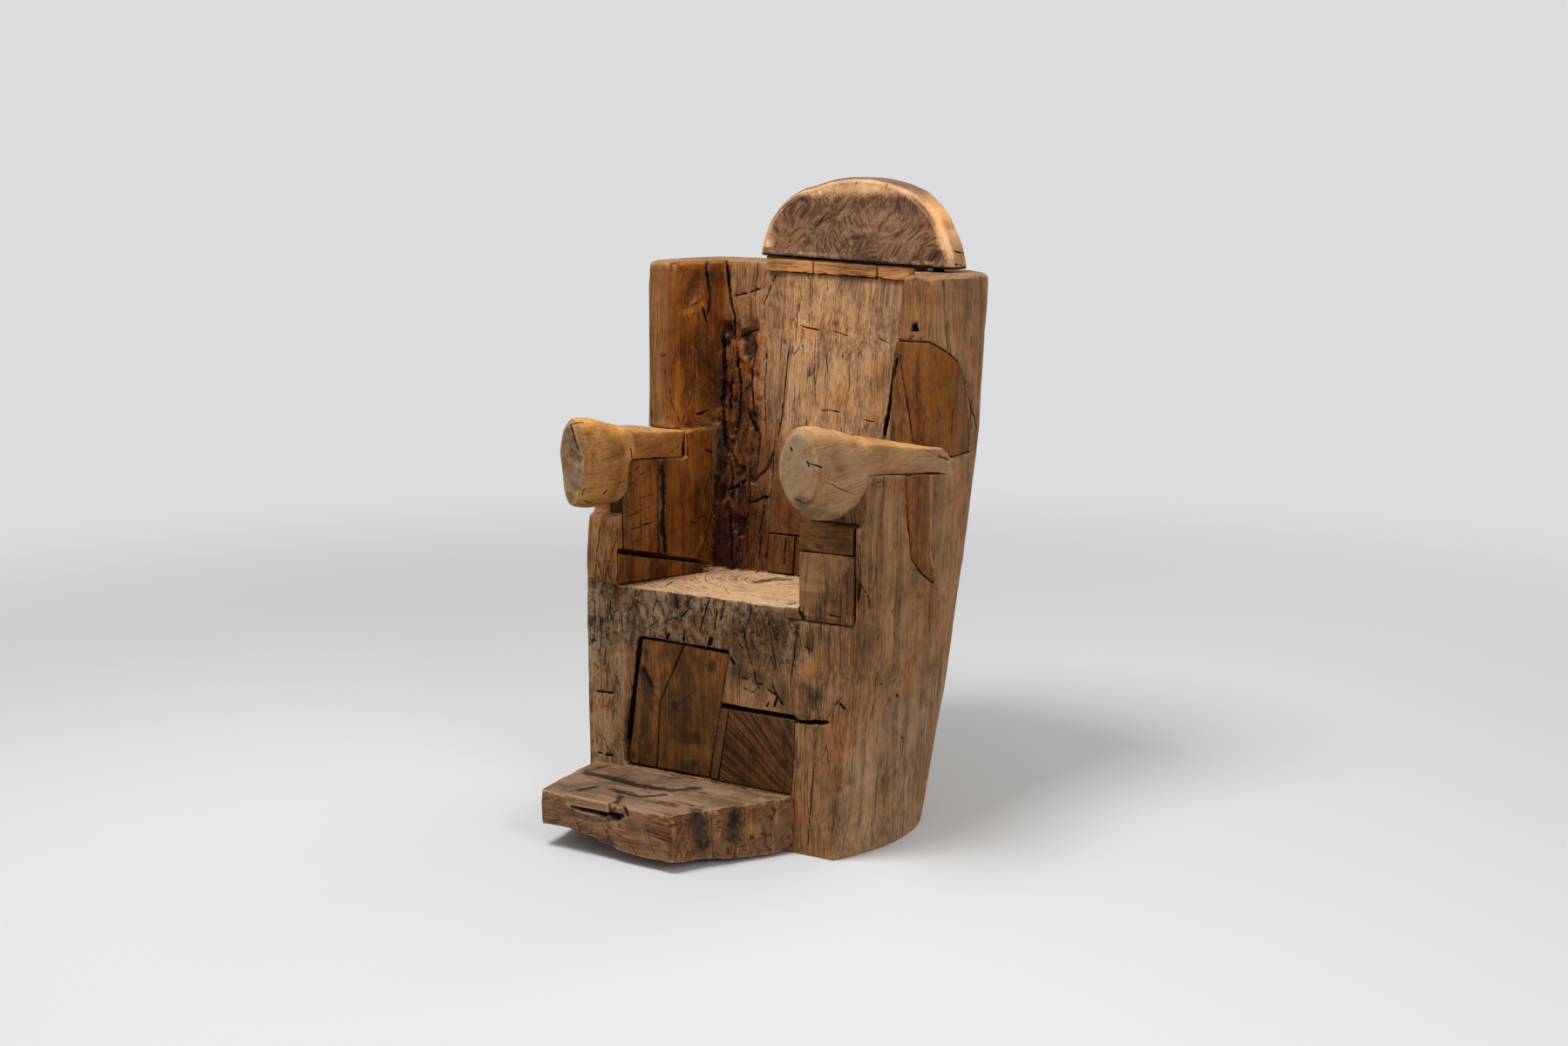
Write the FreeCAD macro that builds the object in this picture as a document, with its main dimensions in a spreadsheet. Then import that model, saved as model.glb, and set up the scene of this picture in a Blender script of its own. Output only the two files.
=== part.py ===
import FreeCAD, Part
import os
import re
import Sketcher

# A throne chair hewn from one standing log, with fitted blocks, boards, arms and a headrest.
# The frame: millimetres, +Z up, the chair's front looks along -Y, and the origin is the middle
# of the log's flat foot. Left and right in the names are those of somebody who faces the chair:
# left is -X.

# The sizes: name, millimetres or the sum that gives it, and what it measures.
SIZES = [
    # Log
    ("log_height", 1100, "height of the blank log before its head is sawn off"),
    ("front_face", 240, "from the middle of the log to its hewn front face"),
    ("level_low", 250, "height of the second section of the log"),
    ("level_seat", 500, "height of the third section of the log"),
    ("level_high", 760, "height of the fourth section of the log"),
    ("rear_foot", 240, "rear of the log at the floor"),
    ("rear_low", 280, "rear of the log at the second section"),
    ("rear_seat", 320, "rear of the log at the third section"),
    ("rear_high", 345, "rear of the log at the fourth section"),
    ("rear_head", 362, "rear of the log at its head"),
    ("round_foot", 290, "radius of the rear corners at the floor"),
    ("round_low", 235, "radius of the rear corners at the second section"),
    ("round_seat", 210, "radius of the rear corners at the third section"),
    ("round_high", 185, "radius of the rear corners at the fourth section"),
    ("round_head", 170, "radius of the rear corners at the head"),
    ("side_foot", 326, "half width of the log at the floor"),
    ("side_low", 332, "half width of the log at the second section"),
    ("side_seat", 338, "half width of the log at the third section"),
    ("side_high", 347, "half width of the log at the fourth section"),
    ("side_head", 350, "half width of the log at its head"),
    ("left_slimmer", 14, "how much slimmer the log is on the -X side up to the third section"),
    ("left_slimmer_high", 24, "how much slimmer the log is on the -X side above that"),
    ("corner_foot", 280, "front corner on the +X side at the floor"),
    ("corner_low", 312, "front corner on the +X side at the second section"),
    ("corner_seat", 331, "front corner on the +X side at the third section and above"),
    ("corner_left", 281, "front corner on the -X side up to the third section"),
    ("corner_left_high", 258, "front corner on the -X side above that"),
    ("side_swell", 14, "how far the +X side swells between its front and rear corners"),
    ("left_side_swell", 6, "how far the -X side swells between its front and rear corners"),
    ("head_height", 1066, "height of the sawn head of the log in the middle"),
    ("reach", 620, "half width of the outlines that cut the log away"),
    ("overrun", 30, "how far a cut runs past the surface that it opens"),
    ("fit_gap", 0.6, "clearance round a fitted piece"),
    # Seat space
    ("seat_front_height", 466, "seat height at its front edge"),
    ("seat_back_height", 446, "seat height at the foot of the back"),
    ("seat_back_depth", 88, "the back's face at the seat, behind the middle of the log"),
    ("back_head_depth", 176, "the back's face at the head of the blank log"),
    ("seat_left", 203, "inner face of the wall on the -X side"),
    ("seat_right", 207, "inner face of the wall on the +X side"),
    ("wing_left_front", 5, "front face of the wing on the -X side"),
    ("wing_right_front", 42, "front face of the wing on the +X side"),
    ("wing_foot_height", "=arm_left_end_height", "height where the wings' splayed inner faces begin"),
    ("wing_left_foot", 238, "front inner edge of the wing on the -X side, at its foot"),
    ("wing_left_head", 234, "front inner edge of the wing on the -X side, at the head"),
    ("wing_right_foot", 232, "front inner edge of the wing on the +X side, at its foot"),
    ("wing_right_head", 262, "front inner edge of the wing on the +X side, at the head"),
    ("nook_left", 214, "where the back meets the wing on the -X side"),
    ("nook_right", 232, "where the back meets the wing on the +X side"),
    ("wing_ridge", 319, "outer end of the front face of the wing on the +X side"),
    ("wing_nose_depth", 68, "how far behind that face the wing's nose reaches its outer face"),
    ("wing_nose_width", 39, "how far the nose runs outwards over that depth"),
    # Arm seats
    ("shelf_depth", 25, "depth of the shelf on each front post, under the arm's head"),
    ("shelf_left_height", 600, "height of the shelf on the -X post"),
    ("shelf_right_height", 623, "height of the shelf on the +X post"),
    ("wall_left_front_rise", 106, "how far the -X wall rises over the shelf at its front end"),
    ("wall_left_front_height", "=shelf_left_height+wall_left_front_rise", "top of the -X wall in front"),
    ("wall_left_rear_rise", 81, "how far the -X wall rises over the shelf at the arm's rear end"),
    ("wall_left_rear_height", "=shelf_left_height+wall_left_rear_rise", "top of the -X wall behind"),
    ("arm_left_end", 20, "rear end of the arm on the -X side"),
    ("arm_left_end_rise", 138, "how far the -X arm's top under the wing is over the shelf"),
    ("arm_left_end_height", "=shelf_left_height+arm_left_end_rise", "top of the -X arm under the wing"),
    ("wall_right_front_rise", 91, "how far the +X wall rises over the shelf at its front end"),
    ("wall_right_front_height", "=shelf_right_height+wall_right_front_rise", "top of the +X wall in front"),
    ("wall_right_rear_rise", 61, "how far the +X wall rises over the shelf at the arm's rear end"),
    ("wall_right_rear_height", "=shelf_right_height+wall_right_rear_rise", "top of the +X wall behind"),
    ("arm_right_end", 84, "rear end of the arm on the +X side"),
    ("arm_right_end_rise", 91, "how far the +X arm's top at its rear end is over the shelf"),
    ("arm_right_end_height", "=shelf_right_height+arm_right_end_rise", "top of the +X arm at its rear end"),
    ("arm_right_wing_rise", 115, "how far the +X arm's top under the wing is over the shelf"),
    ("arm_right_wing_height", "=shelf_right_height+arm_right_wing_rise", "top of the +X arm at the wing"),
    # Arms
    ("arm_left_inner", 186, "inner side of the -X arm at its neck"),
    ("arm_left_outer", 268, "outer side of the -X arm at its neck"),
    ("arm_left_inner_end", 217, "inner side of the -X arm at its rear end"),
    ("arm_left_outer_end", 304, "outer side of the -X arm at its rear end"),
    ("arm_left_rise", 168, "how far the -X arm's top at its neck is over the shelf"),
    ("arm_left_top", "=shelf_left_height+arm_left_rise", "top of the -X arm at its neck"),
    ("arm_left_waist_rise", 157, "how far the -X arm's top is over the shelf halfway along the wall"),
    ("arm_left_waist", "=shelf_left_height+arm_left_waist_rise", "top of the -X arm halfway"),
    ("arm_right_inner", 228, "inner side of the +X arm at its neck"),
    ("arm_right_outer", 340, "outer side of the +X arm at its neck"),
    ("arm_right_inner_end", 222, "inner side of the +X arm at its rear end"),
    ("arm_right_outer_end", 351, "outer side of the +X arm at its rear end"),
    ("arm_right_rise", 157, "how far the +X arm's top at its neck is over the shelf"),
    ("arm_right_top", "=shelf_right_height+arm_right_rise", "top of the +X arm at its neck"),
    ("arm_right_waist_rise", 137, "how far the +X arm's top is over the shelf halfway along the wall"),
    ("arm_right_waist", "=shelf_right_height+arm_right_waist_rise", "top of the +X arm halfway"),
    ("arm_neck", 24, "how far the arms' necks lie behind the front of the walls"),
    ("arm_swell", 7, "how far the arms' sides swell"),
    ("arm_crown", 11, "how far the arms' tops swell"),
    ("head_left_front", 350, "end of the -X arm's head, in front of the middle of the log"),
    ("head_left_inner", 158, "inner side of the -X arm's head"),
    ("head_left_outer", 263, "outer side of the -X arm's head"),
    ("head_left_gap", 17, "open gap between the -X shelf and the arm's head"),
    ("head_left_foot", "=shelf_left_height+head_left_gap", "lowest place of the -X arm's head"),
    ("head_left_rise", 196, "how far the top of the -X arm's head is over the shelf"),
    ("head_left_top", "=shelf_left_height+head_left_rise", "top of the -X arm's head"),
    ("head_right_front", 379, "end of the +X arm's head, in front of the middle of the log"),
    ("head_right_inner", 242, "inner side of the +X arm's head"),
    ("head_right_outer", 340, "outer side of the +X arm's head"),
    ("head_right_gap", 15, "open gap between the +X shelf and the arm's head"),
    ("head_right_foot", "=shelf_right_height+head_right_gap", "lowest place of the +X arm's head"),
    ("head_right_rise", 191, "how far the top of the +X arm's head is over the shelf"),
    ("head_right_top", "=shelf_right_height+head_right_rise", "top of the +X arm's head"),
    ("head_rounding", 11, "how much narrower a head's end is than its middle, on each side"),
    ("head_left_lift", 14, "how much higher the foot of the -X head's end is than its lowest place"),
    ("head_right_lift", 46, "how much higher the foot of the +X head's end is than its lowest place"),
    ("head_swell", 12, "how far the heads' sides swell"),
    ("head_crown", 28, "how far the heads' tops and feet swell"),
    ("peg_radius", 8, "radius of the arms' hidden pegs"),
    ("peg_sunk", 41, "how far the arms' pegs reach under the rear ends of the walls' tops"),
    ("peg_length", 90, "length of the arms' pegs"),
    ("peg_left_across", 252, "the -X arm's pegs, from the middle of the log"),
    ("peg_right_across", 282, "the +X arm's pegs, from the middle of the log"),
    ("peg_front", 165, "front peg of an arm, in front of the middle of the log"),
    ("peg_rear", 55, "rear peg of an arm, in front of the middle of the log"),
    # Opening under the seat, with the door and the corner block
    ("opening_floor", 111, "floor of the opening under the seat"),
    ("opening_depth", 58, "depth of the opening"),
    ("door_recess", 5, "how far the door boards sit behind the front face"),
    ("door_head_left", 369, "head of the opening at its left end"),
    ("door_head_right", 364, "head of the opening at its right end"),
    ("door_left_head", 155, "left side of the opening at its head"),
    ("door_left_foot", 194, "left side of the opening at its floor"),
    ("door_right_head", 54, "right side of the opening at its head"),
    ("door_right_foot", 7, "right side of the opening at its floor"),
    ("door_side_gap", 7, "open gap beside the door"),
    ("door_head_gap", 4, "open gap over the door"),
    ("board_joint", 1.2, "joint between the two door boards"),
    ("board_joint_head", 50, "place of the joint at the door's head"),
    ("board_joint_foot", 118, "place of the joint at the door's foot"),
    ("board_joint_knee", 109, "place of the joint at its knee"),
    ("board_knee_height", 243, "height of the joint's knee"),
    ("block_head", 255, "head of the corner block"),
    ("block_left_head", 34, "left side of the corner block's opening at its head"),
    ("block_left_foot", 8, "left side of the corner block's opening at its floor"),
    ("block_right_head", 198, "right side of the corner block at its head"),
    ("block_right_foot", 191, "right side of the corner block at its foot"),
    ("block_strip_width", 20, "width of the strip beside the corner block"),
    ("kerf_height", 7, "height of a saw kerf"),
    ("kerf_depth", 42, "depth of a saw kerf"),
    ("kerf_end", 266, "right end of the kerf over the corner block"),
    # Front post on the +X side
    ("post_block_height", 128, "height of the post block"),
    ("post_block_foot", "=post_block_head-post_block_height", "foot of the post block"),
    ("post_cap_thickness", 52, "thickness of the cap on the post block"),
    ("post_block_head", "=shelf_right_height-post_cap_thickness", "head of the post block"),
    ("post_block_outer", 321, "outer side of the post block"),
    ("post_block_depth", 62, "depth of the post block"),
    # Wall on the -X side
    ("wall_board_thickness", 34, "thickness of the boards let into the -X wall"),
    ("wall_board_front", 214, "front edge of the wall board, in front of the middle of the log"),
    ("wall_board_rear", 97, "rear edge of the wall board"),
    ("wall_strip_width", 7, "width of the strip behind the wall board"),
    ("wall_strip_recess", 7, "how far the strip lies behind the wall's face"),
    ("wall_kerf_front_rise", 60, "how far the wall's kerf is over the seat at its front end"),
    ("wall_kerf_front_height", "=seat_front_height+wall_kerf_front_rise", "height of the kerf in front"),
    ("wall_kerf_rear_rise", 15, "how far the wall's kerf is over the seat at its rear end"),
    ("wall_kerf_rear_height", "=seat_back_height+wall_kerf_rear_rise", "height of the wall's kerf behind"),
    ("wall_kerf_front", 232, "front end of the wall's kerf"),
    ("wall_kerf_rear", 48, "rear end of the wall's kerf, behind the middle of the log"),
    ("wall_kerf_width", 6, "width of the wall's kerf"),
    ("wall_wedge_sunk", 5, "how far the wedge under the kerf runs below the seat"),
    # Side inlay on the +X side
    ("inlay_depth", 22, "depth of the side inlay under the log's widest place"),
    ("inlay_head_drop", 14, "how far the side inlay's outline ends under the wall's front end"),
    ("inlay_head", "=wall_right_front_height-inlay_head_drop", "upper end of the side inlay's outline"),
    ("inlay_length", 226, "length of the side inlay"),
    ("inlay_tip", "=inlay_head-inlay_length", "lower tip of the side inlay"),
    ("inlay_tip_place", 46, "the tip, behind the middle of the log"),
    ("inlay_head_front", 98, "front corner of the inlay's head, in front of the middle"),
    ("inlay_head_rear", 12, "rear corner of the inlay's head, in front of the middle"),
    ("inlay_knee_drop", 155, "how far the inlay's knee is under its head"),
    ("inlay_knee_height", "=inlay_head-inlay_knee_drop", "height of the inlay's knee"),
    ("inlay_knee_front", 72, "front edge of the inlay at its knee"),
    ("inlay_knee_rear", 2, "rear edge of the inlay at its knee, behind the middle"),
    ("inlay_edge_swell", 9, "how far the inlay's curved edges swell"),
    ("pin_radius", 2.6, "radius of the trenails in the side"),
    ("pin_depth", 26, "depth of the trenails under the log's widest place"),
    # Wing inlay, sliver and wedge on the +X side
    ("arch_foot", "=arm_right_end_height", "foot of the wing inlay"),
    ("arch_height", 218, "height of the wing inlay"),
    ("arch_head", "=arch_foot+arch_height", "crown of the wing inlay"),
    ("arch_front", 10, "front end of the wing inlay's outline"),
    ("arch_crown_place", 44, "the crown, behind the middle of the log"),
    ("arch_knee_rise", 128, "how far the wing inlay's knee is over its foot"),
    ("arch_knee_height", "=arch_foot+arch_knee_rise", "height of the wing inlay's knee"),
    ("arch_knee_place", 134, "the knee, behind the middle of the log"),
    ("arch_rear", 166, "rear side of the wing inlay at its foot"),
    ("arch_swell", 12, "how far the arch swells"),
    ("sliver_width", 13, "width of the sliver behind the wing inlay"),
    ("wedge_height", 192, "height of the wing wedge"),
    ("wedge_head", "=arch_foot+wedge_height", "head of the wing wedge"),
    ("wedge_head_across", 256, "the wedge's head, from the middle of the log"),
    ("wedge_outer", 292, "outer side of the wing wedge at its foot"),
    ("wedge_depth", 58, "depth of the wing wedge"),
    # Back
    ("board_thickness", 22, "thickness of the boards let into the back"),
    ("board_left", 74, "left edge of the back board, from the middle of the log"),
    ("board_right", 196, "right edge of the back board"),
    ("patch_height", 79, "height of the back patches"),
    ("board_foot", "=patch_seat+patch_height", "foot of the back board"),
    ("board_head", 1036, "head of the back board"),
    ("patch_joint", 9, "joint between the two back patches, left of the middle"),
    ("patch_gap", 2, "how far the back patches start over the seat"),
    ("patch_seat", "=seat_back_height+patch_gap", "foot of the back patches"),
    # Headrest and its strips
    ("strip_face", 158, "front of the strips, behind the middle of the log"),
    ("strip_depth", 84, "depth of the strips' housing behind its front"),
    ("strip_floor", 1050, "floor of the strips' housing in the middle"),
    ("strips_left", 114, "left end of the strips"),
    ("strips_right", 214, "right end of the strips"),
    ("strip_joint_left", 5, "joint between the left and middle strips, left of the middle"),
    ("strip_joint_right", 140, "joint between the middle and right strips"),
    ("headrest_face", 170, "front of the headrest, behind the middle of the log"),
    ("headrest_thickness", 80, "thickness of the headrest"),
    ("headrest_left", 140, "left end of the headrest's foot"),
    ("headrest_right", 296, "right end of the headrest's foot"),
    ("headrest_foot_left", 1083, "foot of the headrest at its left end"),
    ("headrest_foot_right", 1061, "foot of the headrest at its right end"),
    ("headrest_shoulder_left", 1216, "height of the left shoulder"),
    ("headrest_shoulder_right", 1222, "height of the right shoulder"),
    ("headrest_top_left", 32, "the left shoulder, left of the middle"),
    ("headrest_top_right", 184, "the right shoulder"),
    ("headrest_side_swell", 26, "how far the headrest's sides swell"),
    ("headrest_top_swell", 19, "how far the headrest's top swells"),
    ("headrest_rounding", 15, "radius of the headrest's rim"),
    ("dowel_radius", 11, "radius of the headrest's hidden dowels"),
    ("dowel_foot", 985, "foot of the headrest's dowels"),
    ("dowel_head", 1140, "head of the headrest's dowels"),
    ("dowel_depth", 214, "the dowels' axis, behind the middle of the log"),
    ("dowel_left", 60, "left dowel, left of the middle"),
    ("dowel_middle", 72, "middle dowel"),
    ("dowel_right", 248, "right dowel"),
    # Step
    ("step_top", 111, "top of the step"),
    ("step_underside_front", 17, "underside of the step at its front"),
    ("step_underside_rear", 2, "underside of the step at the log"),
    ("step_front", 457, "front of the step, in front of the middle of the log"),
    ("step_rear_left", 258, "left rear corner of the step"),
    ("step_rear_right", 200, "right rear corner of the step"),
    ("step_front_left", 231, "left front corner of the step"),
    ("step_front_right", 80, "right front corner of the step"),
    ("step_rounding", 16, "radius of the step's front corners"),
    ("step_patch_left", 164, "left end of the patch in the step's edge"),
    ("step_patch_right", 66, "right end of the patch in the step's edge"),
    ("step_patch_depth", 30, "depth of the patch in the step's edge"),
    ("step_patch_height", 20, "height of the patch in the step's edge"),
    ("step_hollow_height", 13, "height of the worn hollow under the patch"),
    ("step_hollow_margin", 9, "how much shorter than the patch the hollow is at each end"),
    ("tenon_radius", 18, "radius of the step's hidden tenons"),
    ("tenon_length", 120, "length of the step's tenons"),
    ("tenon_in_step", 68, "length of a tenon inside the step"),
    ("tenon_height", 62, "height of the tenons' axis"),
    ("tenon_left", 140, "left tenon, left of the middle"),
    ("tenon_right", 72, "right tenon"),
]
ALIASES = {name for name, size, meaning in SIZES}
WORD = re.compile(r"[a-z][a-z_]*[a-z]")
AGAINST = {"X": "YZ_Plane", "Y": "XZ_Plane", "Z": "XY_Plane"}
QUARTER_BOW_SHARE = 0.293

doc = FreeCAD.newDocument("throne_chair")
sheet = doc.addObject("Spreadsheet::Sheet", "Sizes")
for row, (name, size, meaning) in enumerate(SIZES, start=1):
    sheet.set(f"A{row}", meaning)
    sheet.setAlias(f"B{row}", name)
for row, (name, size, meaning) in enumerate(SIZES, start=1):
    sheet.set(f"B{row}", str(size))
doc.recompute()


def bound(expression):
    """The same sum with each size in it named as a cell of the sheet."""
    def cell(found):
        return "Sizes." + found.group() if found.group() in ALIASES else found.group()
    return WORD.sub(cell, str(expression))


def number(expression):
    """What a sum of sizes comes to, in millimetres."""
    return float(sheet.evalExpression(bound(expression)))


def outline(body, label, axis, place, corners):
    """A closed outline square to an axis, its corners counted left-handed turns outwards.

    A corner is (across, up, swell): swell is how far the edge to the next corner bows outwards.
    """
    sketch = body.newObject("Sketcher::SketchObject", label)
    plane = next(item for item in body.Origin.OriginFeatures if item.Role == AGAINST[axis])
    sketch.AttachmentSupport = [(plane, "")]
    sketch.MapMode = "FlatFace"
    side = "-" if axis == "Y" else ""
    sketch.setExpression("AttachmentOffset.Base.z", bound(f"{side}({place})"))
    points = [FreeCAD.Vector(number(across), number(up), 0) for across, up, swell in corners]
    shapes, ends, rules, sums = [], [], [], []
    for index, (across, up, swell) in enumerate(corners):
        start, stop = points[index], points[(index + 1) % len(corners)]
        bow = number(swell)
        if bow:
            run = stop - start
            outwards = FreeCAD.Vector(run.y, -run.x, 0).normalize()
            shapes.append(Part.Arc(start, (start + stop) / 2 + outwards * bow, stop))
        else:
            shapes.append(Part.LineSegment(start, stop))
        ends.append((1, 2) if bow >= 0 else (2, 1))
    sketch.addGeometry(shapes, False)
    for index, (across, up, swell) in enumerate(corners):
        following = (index + 1) % len(corners)
        far = corners[following]
        rules.append(Sketcher.Constraint("Coincident", index, ends[index][1], following, ends[following][0]))
        sums.append(None)
        rules.append(Sketcher.Constraint("DistanceX", -1, 1, index, ends[index][0], points[index].x))
        sums.append(across)
        rules.append(Sketcher.Constraint("DistanceY", -1, 1, index, ends[index][0], points[index].y))
        sums.append(up)
        if number(swell):
            chord = f"((({far[0]})-({across}))^2+(({far[1]})-({up}))^2)"
            radius = f"abs({chord}/(8*({swell}))+({swell})/2)"
            rules.append(Sketcher.Constraint("Radius", index, number(radius)))
            sums.append(radius)
    sketch.addConstraint(rules)
    for index, expression in enumerate(sums):
        if expression is not None:
            sketch.setExpression(f"Constraints[{index}]", bound(expression))
    return sketch


def prism(label, axis, start, corners, length):
    """A body with one outline, padded along an axis from its start."""
    body = doc.addObject("PartDesign::Body", label)
    pad = body.newObject("PartDesign::Pad", f"{label}_pad")
    pad.Profile = outline(body, f"{label}_outline", axis, start, corners)
    pad.setExpression("Length", bound(length))
    pad.Reversed = axis == "Y"
    body.Tip = pad
    return body


def loft(label, axis, sections):
    """A body lofted through outlines at several places along an axis."""
    body = doc.addObject("PartDesign::Body", label)
    sketches = [
        outline(body, f"{label}_section_{count}", axis, place, corners)
        for count, (place, corners) in enumerate(sections)
    ]
    feature = body.newObject("PartDesign::AdditiveLoft", f"{label}_loft")
    feature.Profile = sketches[0]
    feature.Sections = sketches[1:]
    feature.Ruled = True
    body.Tip = feature
    return body


def rod(label, axis, start, centre, radius, length):
    """A round rod along X, Y or Z: centre holds its other two coordinates in their order."""
    turns = {"X": FreeCAD.Rotation(FreeCAD.Vector(0, 1, 0), 90),
             "Y": FreeCAD.Rotation(FreeCAD.Vector(1, 0, 0), -90),
             "Z": FreeCAD.Rotation()}
    shape = doc.addObject("Part::Cylinder", label)
    shape.Placement = FreeCAD.Placement(FreeCAD.Vector(), turns[axis])
    shape.setExpression("Radius", bound(radius))
    shape.setExpression("Height", bound(length))
    places = list(centre)
    places.insert("XYZ".index(axis), start)
    for letter, place in zip("xyz", places):
        shape.setExpression(f"Placement.Base.{letter}", bound(place))
    return shape


def joined(label, shapes):
    """One compound solid, or several apart from each other, out of many."""
    if len(shapes) == 1:
        return shapes[0]
    result = doc.addObject("Part::MultiFuse", label)
    result.Shapes = shapes
    return result


def cut(label, base, tools):
    """The base with all the tools taken out of it."""
    result = doc.addObject("Part::Cut", label)
    result.Base = base
    result.Tool = joined(f"{label}_tools", tools)
    return result


def shared(label, first, second):
    """What two shapes have in common."""
    result = doc.addObject("Part::Common", label)
    result.Base = first
    result.Tool = second
    return result


def inset(corners, gap):
    """The same outline drawn in by a gap on every edge, with its corners on their bisectors."""
    points = [FreeCAD.Vector(number(across), number(up), 0) for across, up, swell in corners]
    smaller = []
    for index, (across, up, swell) in enumerate(corners):
        before = points[index] - points[index - 1]
        after = points[(index + 1) % len(points)] - points[index]
        first = FreeCAD.Vector(before.y, -before.x, 0).normalize()
        second = FreeCAD.Vector(after.y, -after.x, 0).normalize()
        shift = (first + second) / (1 + first.dot(second))
        smaller.append((f"({across})-({shift.x:.6f})*({gap})", f"({up})-({shift.y:.6f})*({gap})", swell))
    return smaller


def fitted(label, host, axis, face, depth, corners, recess="0"):
    """A pocket and the piece that fits it, with the fit's gap all round.

    The pocket opens at face, against the axis, and the piece is trimmed by its host, so that it
    ends flush, or behind the face by a recess.
    """
    pocket = prism(f"{label}_pocket", axis, f"({face})-overrun", corners, f"({depth})+overrun")
    start = f"({face})+({recess})" if recess != "0" else f"({face})-overrun"
    length = f"({depth})-({recess})-fit_gap" if recess != "0" else f"({depth})+overrun-fit_gap"
    blank = prism(f"{label}_blank", axis, start, inset(corners, "fit_gap"), length)
    return shared(label, host, blank), pocket


# The log's blank: five sections, flat in front, round behind, leaning back.
REAR_BOW_SHARE = 0.03


def log_section(left, right, side, slimmer, rear, rounding):
    """A section between its left and right front corners, with rounded rear corners."""
    slim = f"(({side})-({slimmer}))"
    bow = f"({rounding})*{QUARTER_BOW_SHARE}"
    return [
        (f"-({left})", "-front_face", "0"),
        (right, "-front_face", "side_swell"),
        (side, f"({rear})-({rounding})", bow),
        (f"({side})-({rounding})", rear, f"({side}+{slim}-2*({rounding}))*{REAR_BOW_SHARE}"),
        (f"({rounding})-{slim}", rear, bow),
        (f"-{slim}", f"({rear})-({rounding})", "left_side_swell"),
    ]


log_blank = loft("log_blank", "Z", [
    ("0", log_section("corner_left", "corner_foot", "side_foot", "left_slimmer",
                      "rear_foot", "round_foot")),
    ("level_low", log_section("corner_left", "corner_low", "side_low", "left_slimmer",
                              "rear_low", "round_low")),
    ("level_seat", log_section("corner_left", "corner_seat", "side_seat", "left_slimmer",
                               "rear_seat", "round_seat")),
    ("level_high", log_section("corner_left_high", "corner_seat", "side_high", "left_slimmer_high",
                               "rear_high", "round_high")),
    ("log_height", log_section("corner_left_high", "corner_seat", "side_head", "left_slimmer_high",
                               "rear_head", "round_head")),
])

# What is hewn away: the head's slope, the seat space, the wings' splay and the arms' seats.
HEAD_SLOPE_SHARE = 0.035
head_cut = prism("head_cut", "Y", "-reach", [
    ("-reach", f"head_height+reach*{HEAD_SLOPE_SHARE}", "0"),
    ("reach", f"head_height-reach*{HEAD_SLOPE_SHARE}", "0"),
    ("reach", "log_height+reach", "0"),
    ("-reach", "log_height+reach", "0"),
], "2*reach")

SEAT_SLOPE = "(seat_front_height-seat_back_height)/(front_face+seat_back_depth)"
BACK_SLOPE = "(back_head_depth-seat_back_depth)/(log_height-seat_back_height)"


def back_face(height):
    """The back's face at a height, behind the middle of the log."""
    return f"(seat_back_depth+(({height})-seat_back_height)*{BACK_SLOPE})"


seat_space = prism("seat_space", "X", "-seat_left", [
    ("-reach", f"seat_front_height+(reach-front_face)*{SEAT_SLOPE}", "0"),
    ("seat_back_depth", "seat_back_height", "0"),
    (back_face("log_height+reach"), "log_height+reach", "0"),
    ("-reach", "log_height+reach", "0"),
], "seat_left+seat_right")


def splay_section(left, right, height):
    return [
        (f"-({left})", "-reach", "0"),
        (right, "-reach", "0"),
        (right, "wing_right_front", "0"),
        ("nook_right", back_face(height), "0"),
        ("-nook_left", back_face(height), "0"),
        (f"-({left})", "wing_left_front", "0"),
    ]


wing_splay = loft("wing_splay", "Z", [
    ("wing_foot_height", splay_section("wing_left_foot", "wing_right_foot", "wing_foot_height")),
    ("log_height", splay_section("wing_left_head", "wing_right_head", "log_height")),
])


POST = "(shelf_depth-front_face)"
LEFT_WALL = ("wall_left_front_height", "wall_left_rear_height", "arm_left_end")
RIGHT_WALL = ("wall_right_front_height", "wall_right_rear_height", "arm_right_end")


def wall_top(place, front, rear, end):
    """The top of a wall at a place behind the middle of the log."""
    return f"(({front})+(({place})-{POST})*(({rear})-({front}))/(({end})-{POST}))"


def arm_seat(label, start, shelf, wall, wing_front):
    """The shelf on the post, the sloping wall top and the wing's front face."""
    return prism(label, "X", start, [
        ("-reach", shelf, "0"),
        (POST, shelf, "0"),
        (POST, wall[0], "0"),
        (wing_front, wall_top(wing_front, *wall), "0"),
        (wing_front, "log_height+reach", "0"),
        ("-reach", "log_height+reach", "0"),
    ], "reach")


def arm_housing(label, start, length, wall, wing_front, wing_height, end_height):
    """The housing under the wing that takes the arm's rear end."""
    open_end = f"({wing_front})-overrun"
    return prism(label, "X", start, [
        (open_end, wall_top(open_end, *wall), "0"),
        (wall[2], wall[1], "0"),
        (wall[2], end_height, "0"),
        (wing_front, wing_height, "0"),
        (open_end, wing_height, "0"),
    ], length)


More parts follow.
